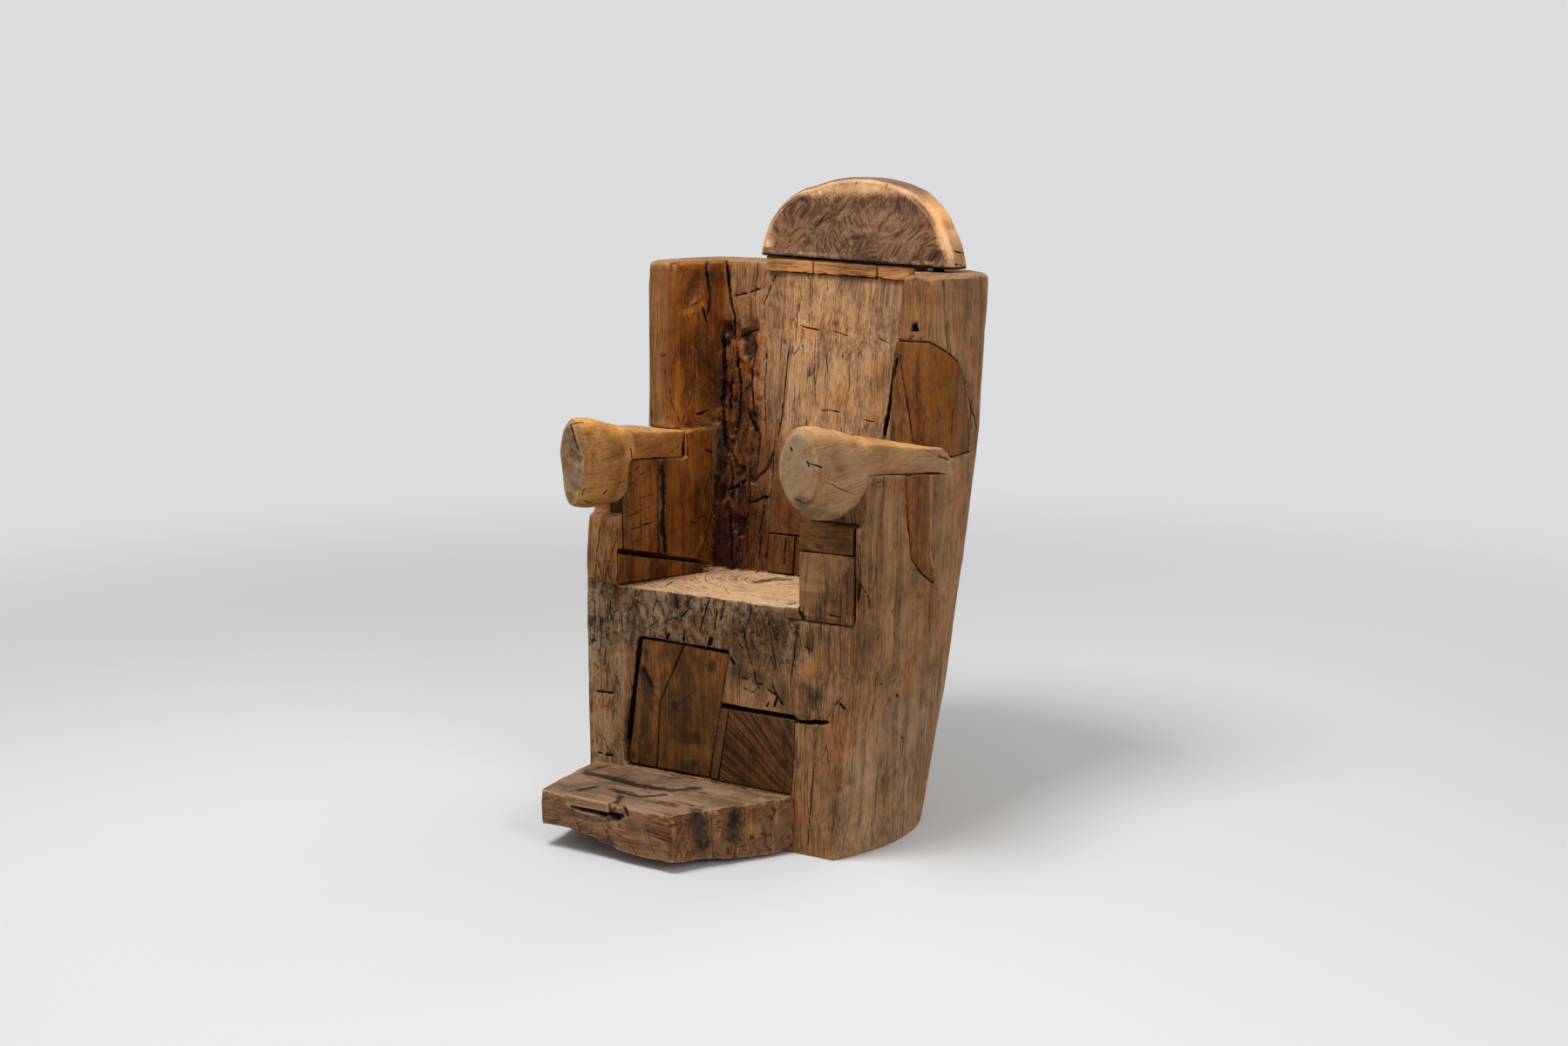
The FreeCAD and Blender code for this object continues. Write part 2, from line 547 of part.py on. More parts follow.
wing_nose = prism("wing_nose", "Z", "arm_right_end_height", [
    ("wing_ridge", "wing_right_front", "0"),
    ("wing_ridge", "wing_right_front-overrun", "0"),
    ("reach", "wing_right_front-overrun", "0"),
    ("reach", "wing_right_front+(reach-wing_ridge)*wing_nose_depth/wing_nose_width", "0"),
], "log_height")
log = cut("hewn_log", log_blank, [
    head_cut,
    seat_space,
    wing_splay,
    wing_nose,
    arm_seat("left_arm_seat", "-reach", "shelf_left_height", LEFT_WALL, "wing_left_front"),
    arm_seat("right_arm_seat", "0", "shelf_right_height", RIGHT_WALL, "wing_right_front"),
    arm_housing("left_arm_housing", "-reach", "reach-arm_left_inner_end+fit_gap", LEFT_WALL,
                "wing_left_front", "arm_left_end_height", "arm_left_end_height"),
    arm_housing("right_arm_housing", "arm_right_inner_end-fit_gap", "reach", RIGHT_WALL,
                "wing_right_front", "arm_right_wing_height", "arm_right_end_height"),
])

parts = []
pockets = []


def inlaid(label, host, axis, face, depth, corners, recess="0"):
    """A fitted piece of the log, listed with its pocket."""
    piece, pocket = fitted(label, host, axis, face, depth, corners, recess)
    parts.append(piece)
    pockets.append(pocket)
    return piece


# The door in the opening under the seat: two boards with a bent joint.
opening = prism("door_opening", "Y", "-front_face-overrun", [
    ("-door_left_foot", "opening_floor", "0"),
    ("door_right_foot", "opening_floor", "0"),
    ("door_right_head", "door_head_right", "0"),
    ("-door_left_head", "door_head_left", "0"),
], "opening_depth+overrun")
pockets.append(opening)
for side, corners in (
    ("left", [
        ("-door_left_foot+door_side_gap", "opening_floor", "0"),
        ("-board_joint_foot-board_joint/2", "opening_floor", "0"),
        ("-board_joint_knee-board_joint/2", "board_knee_height", "0"),
        ("-board_joint_head-board_joint/2", "door_head_left-door_head_gap", "0"),
        ("-door_left_head+door_side_gap", "door_head_left-door_head_gap", "0"),
    ]),
    ("right", [
        ("-board_joint_foot+board_joint/2", "opening_floor", "0"),
        ("door_right_foot-fit_gap", "opening_floor", "0"),
        ("door_right_head-fit_gap", "door_head_right-door_head_gap", "0"),
        ("-board_joint_head+board_joint/2", "door_head_left-door_head_gap", "0"),
        ("-board_joint_knee+board_joint/2", "board_knee_height", "0"),
    ]),
):
    board = prism(f"door_board_{side}", "Y", "door_recess-front_face", corners,
                  "opening_depth-door_recess")
    parts.append(board)

# The corner block, the strip beside it, and the kerf over them.
inlaid("corner_block_strip", log, "Y", "-front_face", "opening_depth", [
    ("block_left_foot", "opening_floor", "0"),
    ("block_left_foot+block_strip_width", "opening_floor", "0"),
    ("block_left_head+block_strip_width", "block_head", "0"),
    ("block_left_head", "block_head", "0"),
])
inlaid("corner_block", log, "Y", "-front_face", "opening_depth", [
    ("block_left_foot+block_strip_width", "opening_floor", "0"),
    ("block_right_foot", "opening_floor", "0"),
    ("block_right_head", "block_head", "0"),
    ("block_left_head+block_strip_width", "block_head", "0"),
])
pockets.append(prism("block_kerf", "Y", "-front_face-overrun", [
    ("block_left_head", "block_head", "0"),
    ("kerf_end", "block_head", "0"),
    ("kerf_end", "block_head+kerf_height", "0"),
    ("block_left_head", "block_head+kerf_height", "0"),
], "kerf_depth+overrun"))

# The block and its cap in the front post on the +X side, open to the seat.
for label, foot, head in (
    ("right_post_block", "post_block_foot", "post_block_head"),
    ("right_post_cap", "post_block_head", "shelf_right_height"),
):
    inlaid(label, log, "Y", "-front_face", "post_block_depth", [
        ("seat_right-overrun", foot, "0"),
        ("post_block_outer", foot, "0"),
        ("post_block_outer", head, "0"),
        ("seat_right-overrun", head, "0"),
    ])

# The board, the strip, the kerf and the wedge in the wall on the -X side.
WALL_KERF_SLOPE = "(wall_kerf_rear_height-wall_kerf_front_height)/(wall_kerf_front+wall_kerf_rear)"


def wall_kerf(place):
    """The lower edge of the wall's kerf at a place behind the middle of the log."""
    return f"(wall_kerf_front_height+(({place})+wall_kerf_front)*{WALL_KERF_SLOPE})"


wall_start = "-seat_left-wall_board_thickness"
wall_depth = "wall_board_thickness+overrun"


def wall_piece(label, corners, recess="0"):
    """A piece let into the wall's inner face: pocket from behind, trimmed at the face."""
    pocket = prism(f"{label}_pocket", "X", wall_start, corners, wall_depth)
    blank = prism(f"{label}_blank", "X", f"{wall_start}+fit_gap", inset(corners, "fit_gap"),
                  f"wall_board_thickness-fit_gap-({recess})")
    pockets.append(pocket)
    parts.append(shared(label, log, blank))


wall_head = "wall_left_front_height+overrun"
wall_piece("left_wall_board", [
    ("-wall_board_front", f"{wall_kerf('-wall_board_front')}+wall_kerf_width", "0"),
    ("-wall_board_rear", f"{wall_kerf('-wall_board_rear')}+wall_kerf_width", "0"),
    ("-wall_board_rear", wall_head, "0"),
    ("-wall_board_front", wall_head, "0"),
])
wall_piece("left_wall_strip", [
    ("-wall_board_rear", f"{wall_kerf('-wall_board_rear')}+wall_kerf_width", "0"),
    ("-wall_board_rear+wall_strip_width",
     f"{wall_kerf('-wall_board_rear+wall_strip_width')}+wall_kerf_width", "0"),
    ("-wall_board_rear+wall_strip_width", wall_head, "0"),
    ("-wall_board_rear", wall_head, "0"),
], recess="wall_strip_recess")
wall_piece("left_wall_wedge", [
    ("-wall_kerf_front", "seat_front_height-wall_wedge_sunk", "0"),
    ("wall_kerf_rear", "seat_back_height-wall_wedge_sunk", "0"),
    ("wall_kerf_rear", wall_kerf("wall_kerf_rear"), "0"),
    ("-wall_kerf_front", wall_kerf("-wall_kerf_front"), "0"),
])
pockets.append(prism("left_wall_kerf", "X", wall_start, [
    ("-wall_kerf_front", wall_kerf("-wall_kerf_front"), "0"),
    ("wall_kerf_rear", wall_kerf("wall_kerf_rear"), "0"),
    ("wall_kerf_rear", f"{wall_kerf('wall_kerf_rear')}+wall_kerf_width", "0"),
    ("-wall_kerf_front", f"{wall_kerf('-wall_kerf_front')}+wall_kerf_width", "0"),
], wall_depth))


# Pieces let into the outer face on the +X side: pockets run outwards from their floor.
def side_piece(label, host, floor, corners):
    """A piece flush with the log's outer face, with the fit's gap round it and on its floor."""
    pocket = prism(f"{label}_pocket", "X", floor, corners, "reach")
    blank = prism(f"{label}_blank", "X", f"({floor})+fit_gap", inset(corners, "fit_gap"), "reach")
    pockets.append(pocket)
    piece = shared(label, host, blank)
    return piece, pocket


side_inlay, side_inlay_pocket = side_piece("right_side_inlay_whole", log, "side_seat-inlay_depth", [
    ("-inlay_knee_front", "inlay_knee_height", "inlay_edge_swell"),
    ("inlay_tip_place", "inlay_tip", "-inlay_edge_swell"),
    ("inlay_knee_rear", "inlay_knee_height", "0"),
    ("-inlay_head_rear", "inlay_head", "0"),
    ("-inlay_head_front", "inlay_head", "0"),
])

# Four trenails in the side: two through the inlay's head, two behind its edge.
PIN_SHARES = [(-0.82, 0.24), (-0.78, 0.31), (0.16, 0.12), (0.10, 0.66)]
pin_places = [
    (f"inlay_head_front*{across}", f"inlay_head-(inlay_head-inlay_tip)*{down}")
    for across, down in PIN_SHARES
]
pin_floor = "side_seat-pin_depth"
pin_holes = [
    rod(f"pin_hole_{count}", "X", pin_floor, place, "pin_radius", "reach")
    for count, place in enumerate(pin_places, start=1)
]
pins = [
    rod(f"pin_{count}", "X", f"{pin_floor}+fit_gap", place, "pin_radius-fit_gap/2", "reach")
    for count, place in enumerate(pin_places, start=1)
]
pockets.extend(pin_holes)
parts.append(cut("right_side_inlay", side_inlay, pin_holes))
parts.append(shared("inlay_pins", log, joined("inlay_pin_rods", pins)))

# The arched inlay in the wing, the sliver behind it and the wedge on the wing's inner edge.
wedge_outline = [
    ("seat_right-overrun", "arch_foot", "0"),
    ("wedge_outer", "arch_foot", "0"),
    ("wedge_head_across", "wedge_head", "0"),
    ("seat_right-overrun", "wedge_head", "0"),
]
wedge_pocket = prism("right_wing_wedge_pocket", "Y", "wing_right_front-overrun", wedge_outline,
                     "wedge_depth+overrun")
wedge_blank = prism("right_wing_wedge_blank", "Y", "wing_right_front-overrun",
                    inset(wedge_outline, "fit_gap"), "wedge_depth+overrun-fit_gap")
pockets.append(wedge_pocket)
parts.append(shared("right_wing_wedge", log, wedge_blank))

arch = [
    ("arch_front", "arch_foot", "0"),
    ("arch_rear", "arch_foot", "arch_swell/2"),
    ("arch_knee_place", "arch_knee_height", "arch_swell"),
    ("arch_crown_place", "arch_head", "0"),
    ("arch_front", "arch_head", "0"),
]
arch_inlay, arch_pocket = side_piece("right_wing_inlay_whole", log, "nook_right", arch)
parts.append(cut("right_wing_inlay", arch_inlay, [wedge_pocket]))
sliver_whole, sliver_pocket = side_piece("right_wing_sliver_whole", log, "wing_right_head", [
    ("arch_rear-sliver_width", "arch_foot", "0"),
    ("arch_rear+sliver_width", "arch_foot", "arch_swell/2"),
    ("arch_knee_place+sliver_width/2", "arch_knee_height+sliver_width", "0"),
    ("arch_knee_place-sliver_width", "arch_knee_height", "0"),
])
parts.append(cut("right_wing_sliver", sliver_whole, [arch_pocket]))


# The board and the two patches let into the back's face.
def back_piece(label, left, right, foot, head):
    """A board in the back's leaning face, as thick as the other boards there."""
    def corners(gap):
        return [
            (f"{back_face(foot)}-fit_gap", f"({foot})+({gap})", "0"),
            (f"{back_face(foot)}+board_thickness-({gap})", f"({foot})+({gap})", "0"),
            (f"{back_face(head)}+board_thickness-({gap})", f"({head})-({gap})", "0"),
            (f"{back_face(head)}-overrun", f"({head})-({gap})", "0"),
        ]
    pocket = prism(f"{label}_pocket", "X", left, corners("0"), f"({right})-({left})")
    blank = prism(f"{label}_blank", "X", f"({left})+fit_gap", corners("fit_gap"),
                  f"({right})-({left})-2*fit_gap")
    pockets.append(pocket)
    parts.append(shared(label, log, blank))


back_piece("back_board", "-board_left", "board_right", "board_foot", "board_head")
back_piece("back_patch_left", "-board_left", "-patch_joint", "patch_seat", "board_foot")
back_piece("back_patch_right", "-patch_joint", "board_right", "patch_seat", "board_foot")

# The headrest, with its rim rounded, on three strips housed in the log's head.
def headrest_section(less):
    """The headrest's outline, its sides and top drawn in and its foot left straight."""
    return [
        (f"({less})-headrest_left", "headrest_foot_left", "0"),
        (f"headrest_right-({less})", "headrest_foot_right", "headrest_side_swell"),
        (f"headrest_top_right-({less})/2", f"headrest_shoulder_right-({less})", "headrest_top_swell"),
        (f"({less})/2-headrest_top_left", f"headrest_shoulder_left-({less})", "headrest_side_swell"),
    ]


RIM_SHARES = [(0, 1), (0.3, 0.3), (1, 0)]
headrest_body = loft("headrest_blank", "Y", [
    (f"headrest_face+headrest_rounding*{inwards}", headrest_section(f"headrest_rounding*{less}"))
    for inwards, less in RIM_SHARES
] + [
    (f"headrest_face+headrest_thickness-headrest_rounding*{inwards}",
     headrest_section(f"headrest_rounding*{less}"))
    for inwards, less in reversed(RIM_SHARES)
])

STRIP_SLOPE_SHARE = 0.045


def headrest_foot(across):
    """The headrest's underside at a place across."""
    run = "(headrest_right+headrest_left)"
    drop = "(headrest_foot_left-headrest_foot_right)"
    return f"(headrest_foot_left-(({across})+headrest_left)*{drop}/{run})"


def strip_floor_at(across):
    """The floor of the strips' housing at a place across."""
    return f"(strip_floor-({across})*{STRIP_SLOPE_SHARE})"


dowel_holes = [
    rod(f"dowel_hole_{side}", "Z", "dowel_foot-fit_gap", (place, "dowel_depth"),
        "dowel_radius+fit_gap/2", "dowel_head-dowel_foot+2*fit_gap")
    for side, place in (("left", "-dowel_left"), ("middle", "dowel_middle"), ("right", "dowel_right"))
]
dowels = [
    rod(f"dowel_{side}", "Z", "dowel_foot", (place, "dowel_depth"), "dowel_radius",
        "dowel_head-dowel_foot")
    for side, place in (("left", "-dowel_left"), ("middle", "dowel_middle"), ("right", "dowel_right"))
]
pockets.append(prism("strip_housing", "Y", "strip_face-overrun", [
    ("-strips_left", strip_floor_at("-strips_left"), "0"),
    ("strips_right", strip_floor_at("strips_right"), "0"),
    ("strips_right", "log_height", "0"),
    ("-strips_left", "log_height", "0"),
], "strip_depth+overrun"))
for side, left, right in (
    ("left", "-strips_left", "-strip_joint_left"),
    ("middle", "-strip_joint_left", "strip_joint_right"),
    ("right", "strip_joint_right", "strips_right"),
):
    strip = prism(f"headrest_strip_{side}_blank", "Y", "strip_face", [
        (f"{left}+fit_gap", strip_floor_at(left), "0"),
        (f"{right}-fit_gap", strip_floor_at(right), "0"),
        (f"{right}-fit_gap", f"{headrest_foot(right)}-fit_gap", "0"),
        (f"{left}+fit_gap", f"{headrest_foot(left)}-fit_gap", "0"),
    ], "strip_depth-fit_gap")
    parts.append(cut(f"headrest_strip_{side}", strip, dowel_holes))
pockets.extend(dowel_holes)
parts.append(cut("headrest", headrest_body, dowel_holes))
parts.append(joined("headrest_dowels", dowels))


# The arms: each is one piece, a hooked head in front of the post and a bar that tapers rearwards.
# The shares for a head: along it, drawn in, foot raised, top lowered towards the neck's, and
# how full its crown and its foot are.
HEAD_SHARES = [
    (0, 1, 1, 0.4, 0.57),
    (0.1, 0.2, 0.65, 0, 0.93),
    (0.35, 0, 0.15, 0.1, 1),
    (0.72, 0, 0, 0.5, 1),
    (1, 0.2, 0.3, 0.85, 0.8),
]


def arm_section(left, right, foot, head, swell, crown):
    """A section whose bowed sides, foot and top just reach the four limits given."""
    return [
        (f"({left})+({swell})", f"({foot})+({crown})", crown),
        (f"({right})-({swell})", f"({foot})+({crown})", swell),
        (f"({right})-({swell})", f"({head})-({crown})", crown),
        (f"({left})+({swell})", f"({head})-({crown})", swell),
    ]


def head_sections(front, left, right, foot, rise, head, neck):
    """The head's sections, from its blunt end back to the post."""
    run = f"(({front})+{POST}-fit_gap)"
    return [
        (f"{run}*{along}-({front})",
         arm_section(f"({left})+head_rounding*{less}", f"({right})-head_rounding*{less}",
                     f"({foot})+({rise})*{lift}", f"({head})-(({head})-({neck}))*{drop}",
                     "head_swell", f"head_crown*{full}"))
        for along, less, lift, drop, full in HEAD_SHARES
    ]


def whole_arm(label, heads, bars, wall, end, holes):
    """An arm lofted from head to end, then cut to sit on the wall and against the post."""
    sections = list(heads)
    for place, left, right, head, swell, crown in bars:
        foot = f"{wall_top(place, *wall)}-2*arm_crown"
        sections.append((place, arm_section(left, right, foot, head, swell, crown)))
    back = f"({POST}-fit_gap)"
    past = f"({end})+overrun"
    notch = prism(f"{label}_notch", "X", "-reach", [
        (back, "level_seat", "0"),
        (past, "level_seat", "0"),
        (past, wall_top(past, *wall), "0"),
        (back, wall_top(back, *wall), "0"),
    ], "2*reach")
    return cut(label, loft(f"{label}_loft", "Y", sections), [notch] + holes)


NECK = f"({POST}+arm_neck)"
LEFT_MIDDLE = f"(({POST}+arm_left_end)/2)"
RIGHT_MIDDLE = f"(({POST}+arm_right_end)/2)"
left_heads = head_sections("head_left_front", "-head_left_outer", "-head_left_inner",
                           "head_left_foot", "head_left_lift", "head_left_top", "arm_left_top")
left_bars = [
    (NECK, "-arm_left_outer", "-arm_left_inner", "arm_left_top", "arm_swell", "arm_crown"),
    (LEFT_MIDDLE, "-(arm_left_outer+arm_left_outer_end)/2", "-(arm_left_inner+arm_left_inner_end)/2",
     "arm_left_waist", "arm_swell", "arm_crown"),
    ("wing_left_front-fit_gap", "-arm_left_outer_end", "-arm_left_inner_end",
     "arm_left_end_height-fit_gap", "0", "0"),
    ("arm_left_end-fit_gap", "-arm_left_outer_end", "-arm_left_inner_end",
     "arm_left_end_height-fit_gap", "0", "0"),
]
right_heads = head_sections("head_right_front", "head_right_inner", "head_right_outer",
                            "head_right_foot", "head_right_lift", "head_right_top", "arm_right_top")
right_bars = [
    (NECK, "arm_right_inner", "arm_right_outer", "arm_right_top", "arm_swell", "arm_crown"),
    (RIGHT_MIDDLE, "(arm_right_inner+arm_right_inner_end)/2",
     "(arm_right_outer+arm_right_outer_end)/2", "arm_right_waist", "arm_swell", "arm_crown"),
    ("wing_right_front-fit_gap", "arm_right_inner_end", "arm_right_outer_end",
     "arm_right_wing_height-fit_gap", "0", "0"),
    ("arm_right_end-fit_gap", "arm_right_inner_end", "arm_right_outer_end",
     "arm_right_end_height-fit_gap", "0", "0"),
]


def arm_pegs(side, across, wall, gap):
    """Two upright pegs between the wall and the arm."""
    return [
        rod(f"{side}_arm_peg_{end}_{'hole' if gap != '0' else 'rod'}", "Z",
            f"{wall[1]}-peg_sunk-({gap})", (across, f"-({place})"), f"peg_radius+({gap})/2",
            f"peg_length+2*({gap})")
        for end, place in (("front", "peg_front"), ("rear", "peg_rear"))
    ]


for side, heads, bars, wall, across in (
    ("left", left_heads, left_bars, LEFT_WALL, "-peg_left_across"),
    ("right", right_heads, right_bars, RIGHT_WALL, "peg_right_across"),
):
    holes = arm_pegs(side, across, wall, "fit_gap")
    pockets.extend(holes)
    parts.append(whole_arm(f"{side}_arm", heads, bars, wall, f"arm_{side}_end", holes))
    parts.append(joined(f"{side}_arm_pegs", arm_pegs(side, across, wall, "0")))


# The step: a slab that narrows to the front, hollow under a patch in its edge, on two tenons.
corner_bow = f"step_rounding*{QUARTER_BOW_SHARE}"
step_slab = prism("step_slab", "Z", "0", [
    ("-step_front_left", "step_rounding-step_front", corner_bow),
    ("step_rounding-step_front_left", "-step_front", "0"),
    ("step_front_right-step_rounding", "-step_front", corner_bow),
    ("step_front_right", "step_rounding-step_front", "0"),
    ("step_rear_right", "-front_face", "0"),
    ("-step_rear_left", "-front_face", "0"),
], "step_top")
UNDERSIDE_SLOPE = "(step_underside_front-step_underside_rear)/(step_front-front_face)"
underside = prism("step_underside_cut", "X", "-reach", [
    ("-step_front-overrun", "-overrun", "0"),
    ("-front_face+overrun", "-overrun", "0"),
    ("-front_face+overrun", f"step_underside_rear-overrun*{UNDERSIDE_SLOPE}", "0"),
    ("-step_front-overrun", f"step_underside_front+overrun*{UNDERSIDE_SLOPE}", "0"),
], "2*reach")
step_blank = cut("step_blank", step_slab, [underside])
patch_outline = [
    ("-step_patch_left", "step_top-step_patch_height", "0"),
    ("-step_patch_right", "step_top-step_patch_height", "0"),
    ("-step_patch_right", "step_top+overrun", "0"),
    ("-step_patch_left", "step_top+overrun", "0"),
]
step_patch, step_patch_pocket = fitted("step_patch", step_blank, "Y", "-step_front", "step_patch_depth",
                                       patch_outline)
parts.append(step_patch)
worn_hollow = prism("step_hollow", "Y", "-step_front-overrun", [
    ("-step_patch_left+step_hollow_margin", "step_top-step_patch_height-step_hollow_height", "0"),
    ("-step_patch_right-step_hollow_margin", "step_top-step_patch_height-step_hollow_height", "0"),
    ("-step_patch_right-step_hollow_margin", "step_top-step_patch_height", "0"),
    ("-step_patch_left+step_hollow_margin", "step_top-step_patch_height", "0"),
], "step_patch_depth/2+overrun")
tenon_start = "-front_face-tenon_in_step"
tenon_holes = [
    rod(f"tenon_hole_{side}", "Y", f"{tenon_start}-fit_gap", (place, "tenon_height"),
        "tenon_radius+fit_gap/2", "tenon_length+2*fit_gap")
    for side, place in (("left", "-tenon_left"), ("right", "tenon_right"))
]
tenons = [
    rod(f"tenon_{side}", "Y", tenon_start, (place, "tenon_height"), "tenon_radius", "tenon_length")
    for side, place in (("left", "-tenon_left"), ("right", "tenon_right"))
]
pockets.extend(tenon_holes)
parts.append(cut("step", step_blank, [step_patch_pocket, worn_hollow] + tenon_holes))
parts.append(joined("step_tenons", tenons))

# The log itself, with every pocket, kerf and hole taken out.
parts.append(cut("trunk", log, pockets))

doc.recompute()
for item in doc.Objects:
    if "Invalid" in item.State or "Error" in item.State:
        raise RuntimeError(f"{item.Label} did not build: {item.State}")
os.makedirs("parts", exist_ok=True)
for part in parts:
    shape = part.Shape
    if shape.isNull() or not shape.isValid() or not shape.Solids:
        raise RuntimeError(f"{part.Label} has no sound solid")
    shape.exportStep(f"parts/{part.Label}.step")
    box = shape.BoundBox
    print(f"{part.Label:24s} solids {len(shape.Solids)}  volume {shape.Volume / 1000:10.1f} cm3  "
          f"x {box.XMin:7.1f} {box.XMax:7.1f}  y {box.YMin:7.1f} {box.YMax:7.1f}  "
          f"z {box.ZMin:7.1f} {box.ZMax:7.1f}")
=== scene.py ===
import math
import bpy
import numpy as np
from bpy.props import FloatProperty, FloatVectorProperty, IntProperty, PointerProperty
from mathutils import Euler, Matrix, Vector
from mathutils.bvhtree import BVHTree


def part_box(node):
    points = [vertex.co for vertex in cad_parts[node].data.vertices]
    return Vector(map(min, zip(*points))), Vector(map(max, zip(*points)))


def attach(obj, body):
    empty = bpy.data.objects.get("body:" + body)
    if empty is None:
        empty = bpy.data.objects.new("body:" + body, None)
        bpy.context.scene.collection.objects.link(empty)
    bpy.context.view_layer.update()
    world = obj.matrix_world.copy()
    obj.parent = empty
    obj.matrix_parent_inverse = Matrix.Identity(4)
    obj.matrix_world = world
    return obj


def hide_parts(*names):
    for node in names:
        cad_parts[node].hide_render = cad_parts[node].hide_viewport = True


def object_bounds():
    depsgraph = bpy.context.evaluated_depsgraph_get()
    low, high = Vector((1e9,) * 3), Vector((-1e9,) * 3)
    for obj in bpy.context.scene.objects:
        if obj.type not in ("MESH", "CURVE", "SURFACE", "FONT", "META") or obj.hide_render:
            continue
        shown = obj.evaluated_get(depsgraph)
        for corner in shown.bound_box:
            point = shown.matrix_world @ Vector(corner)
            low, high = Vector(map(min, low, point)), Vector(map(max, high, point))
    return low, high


bl_info = {
    "name": "Hewn Throne Chair",
    "version": (1, 0, 0),
    "blender": (4, 5, 0),
    "location": "3D Viewport > Sidebar > Throne",
    "description": "Carves and finishes an armchair hewn from one standing log",
    "category": "Object",
}

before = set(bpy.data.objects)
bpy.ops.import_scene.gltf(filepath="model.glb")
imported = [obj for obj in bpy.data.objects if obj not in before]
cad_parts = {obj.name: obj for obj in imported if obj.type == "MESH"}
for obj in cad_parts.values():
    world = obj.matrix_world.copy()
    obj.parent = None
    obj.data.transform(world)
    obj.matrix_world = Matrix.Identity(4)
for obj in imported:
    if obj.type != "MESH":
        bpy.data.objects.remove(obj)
SOLID_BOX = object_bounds()
MM = 0.001
FRONT, UP, DOWN, SIDE = (0, -1, 0), (0, 0, 1), (0, 0, -1), (1, 0, 0)
# The way that the left wing and wall look, and the right side too
INWARDS = (1, -0.2, 0)
# The finished pieces keep this far inside the solids' box.
INSET = 0.2 * MM
# No piece has more faces than this.
MOST_FACES = 190000
# No edge beside a cut is longer than this, unless the cut is so wide, in millimetres, that it
# shows on longer edges too.
FINE_EDGE = 1.6 * MM
WIDE_CUT = 14

# The camera stands where its picture shows the chair as it was seen. The places of cuts and
# stains are given across and down that picture, and are thrown from here onto the wood.
PICTURE = (1799.0, 1200.0)
CAMERA_PLACE = (1.9992, -3.1569, 1.20)
CAMERA_TURN = (math.radians(80.41), 0.0, math.radians(32.0))
CAMERA_LENS = 44.35
CAMERA_SENSOR = 36.0


# Numbers spread over space

def spread(across, along, up, seed):
    """An even spread from -1 to 1: a number for each lattice point, mixed from its counts."""
    mixed = (across * 73856093) ^ (along * 19349663) ^ (up * 83492791) ^ (seed * 374761393)
    mixed = (mixed & 0xFFFFFFFF).astype(np.uint32)
    mixed ^= mixed >> np.uint32(15)
    mixed *= np.uint32(2246822519)
    mixed ^= mixed >> np.uint32(13)
    mixed *= np.uint32(3266489917)
    mixed ^= mixed >> np.uint32(16)
    return mixed.astype(np.float64) / 2147483648.0 - 1.0


def swell(points, size, seed, stretch=(1.0, 1.0, 1.0)):
    """Smooth noise from -1 to 1: lattice values blended between eight corners by 3t^2 - 2t^3."""
    place = points / (size * np.asarray(stretch))
    corner = np.floor(place)
    share = place - corner
    share = share * share * (3.0 - 2.0 * share)
    corner = corner.astype(np.int64)
    total = np.zeros(len(points))
    for right in (0, 1):
        for back in (0, 1):
            for high in (0, 1):
                weight = ((share[:, 0] if right else 1 - share[:, 0])
                          * (share[:, 1] if back else 1 - share[:, 1])
                          * (share[:, 2] if high else 1 - share[:, 2]))
                total += weight * spread(corner[:, 0] + right, corner[:, 1] + back,
                                         corner[:, 2] + high, seed)
    return total


def rough(points, size, seed, layers=3, stretch=(1.0, 1.0, 1.0)):
    """Layers of smooth noise, each half as large and half as strong as the one before."""
    return sum(swell(points, size / 2 ** layer, seed + layer, stretch) / 2 ** layer
               for layer in range(layers)) / (2 - 2 ** (1 - layers))


def scoops(points, size, seed, stretch=(1.0, 1.0, 1.0)):
    """Gouge cuts, 0 on the crests to 1 in the hollows: 1 minus the squared distance to the nearest
    of the points scattered one in each lattice cell."""
    place = points / (size * np.asarray(stretch))
    cell = np.floor(place).astype(np.int64)
    nearest = np.full(len(points), 9.0)
    for right in (-1, 0, 1):
        for back in (-1, 0, 1):
            for high in (-1, 0, 1):
                x, y, z = cell[:, 0] + right, cell[:, 1] + back, cell[:, 2] + high
                away = ((x + 0.5 + 0.45 * spread(x, y, z, seed) - place[:, 0]) ** 2
                        + (y + 0.5 + 0.45 * spread(x, y, z, seed + 1) - place[:, 1]) ** 2
                        + (z + 0.5 + 0.45 * spread(x, y, z, seed + 2) - place[:, 2]) ** 2)
                nearest = np.minimum(nearest, away)
    return np.clip(1.0 - nearest, 0.0, 1.0)


def ease(values, low, high):
    """0 below low and 1 above high, along 3t^2 - 2t^3 between them."""
    share = np.clip((values - low) / (high - low), 0.0, 1.0)
    return share * share * (3.0 - 2.0 * share)


def within(points, low, high, soft):
    """1 inside a box given in millimetres, falling to 0 over a soft margin outside it."""
    low, high = np.asarray(low) * MM, np.asarray(high) * MM
    gap = np.maximum(np.maximum(low - points, points - high), 0.0)
    return 1.0 - ease(np.sqrt((gap ** 2).sum(axis=1)), 0.0, soft * MM)


def facing(normals, direction, low=0.5, high=0.85):
    """1 where a surface looks along a direction."""
    way = np.asarray(direction, float)
    return ease(normals @ (way / np.linalg.norm(way)), low, high)


# Wood being carved

def net(mesh):
    """A mesh's points and triangles as whole arrays."""
    points = np.zeros(len(mesh.vertices) * 3, np.float32)
    mesh.vertices.foreach_get("co", points)
    mesh.calc_loop_triangles()
    corners = np.zeros(len(mesh.loop_triangles) * 3, np.int32)
    mesh.loop_triangles.foreach_get("vertices", corners)
    return points.reshape(-1, 3).astype(np.float64), corners.reshape(-1, 3).astype(np.int64)


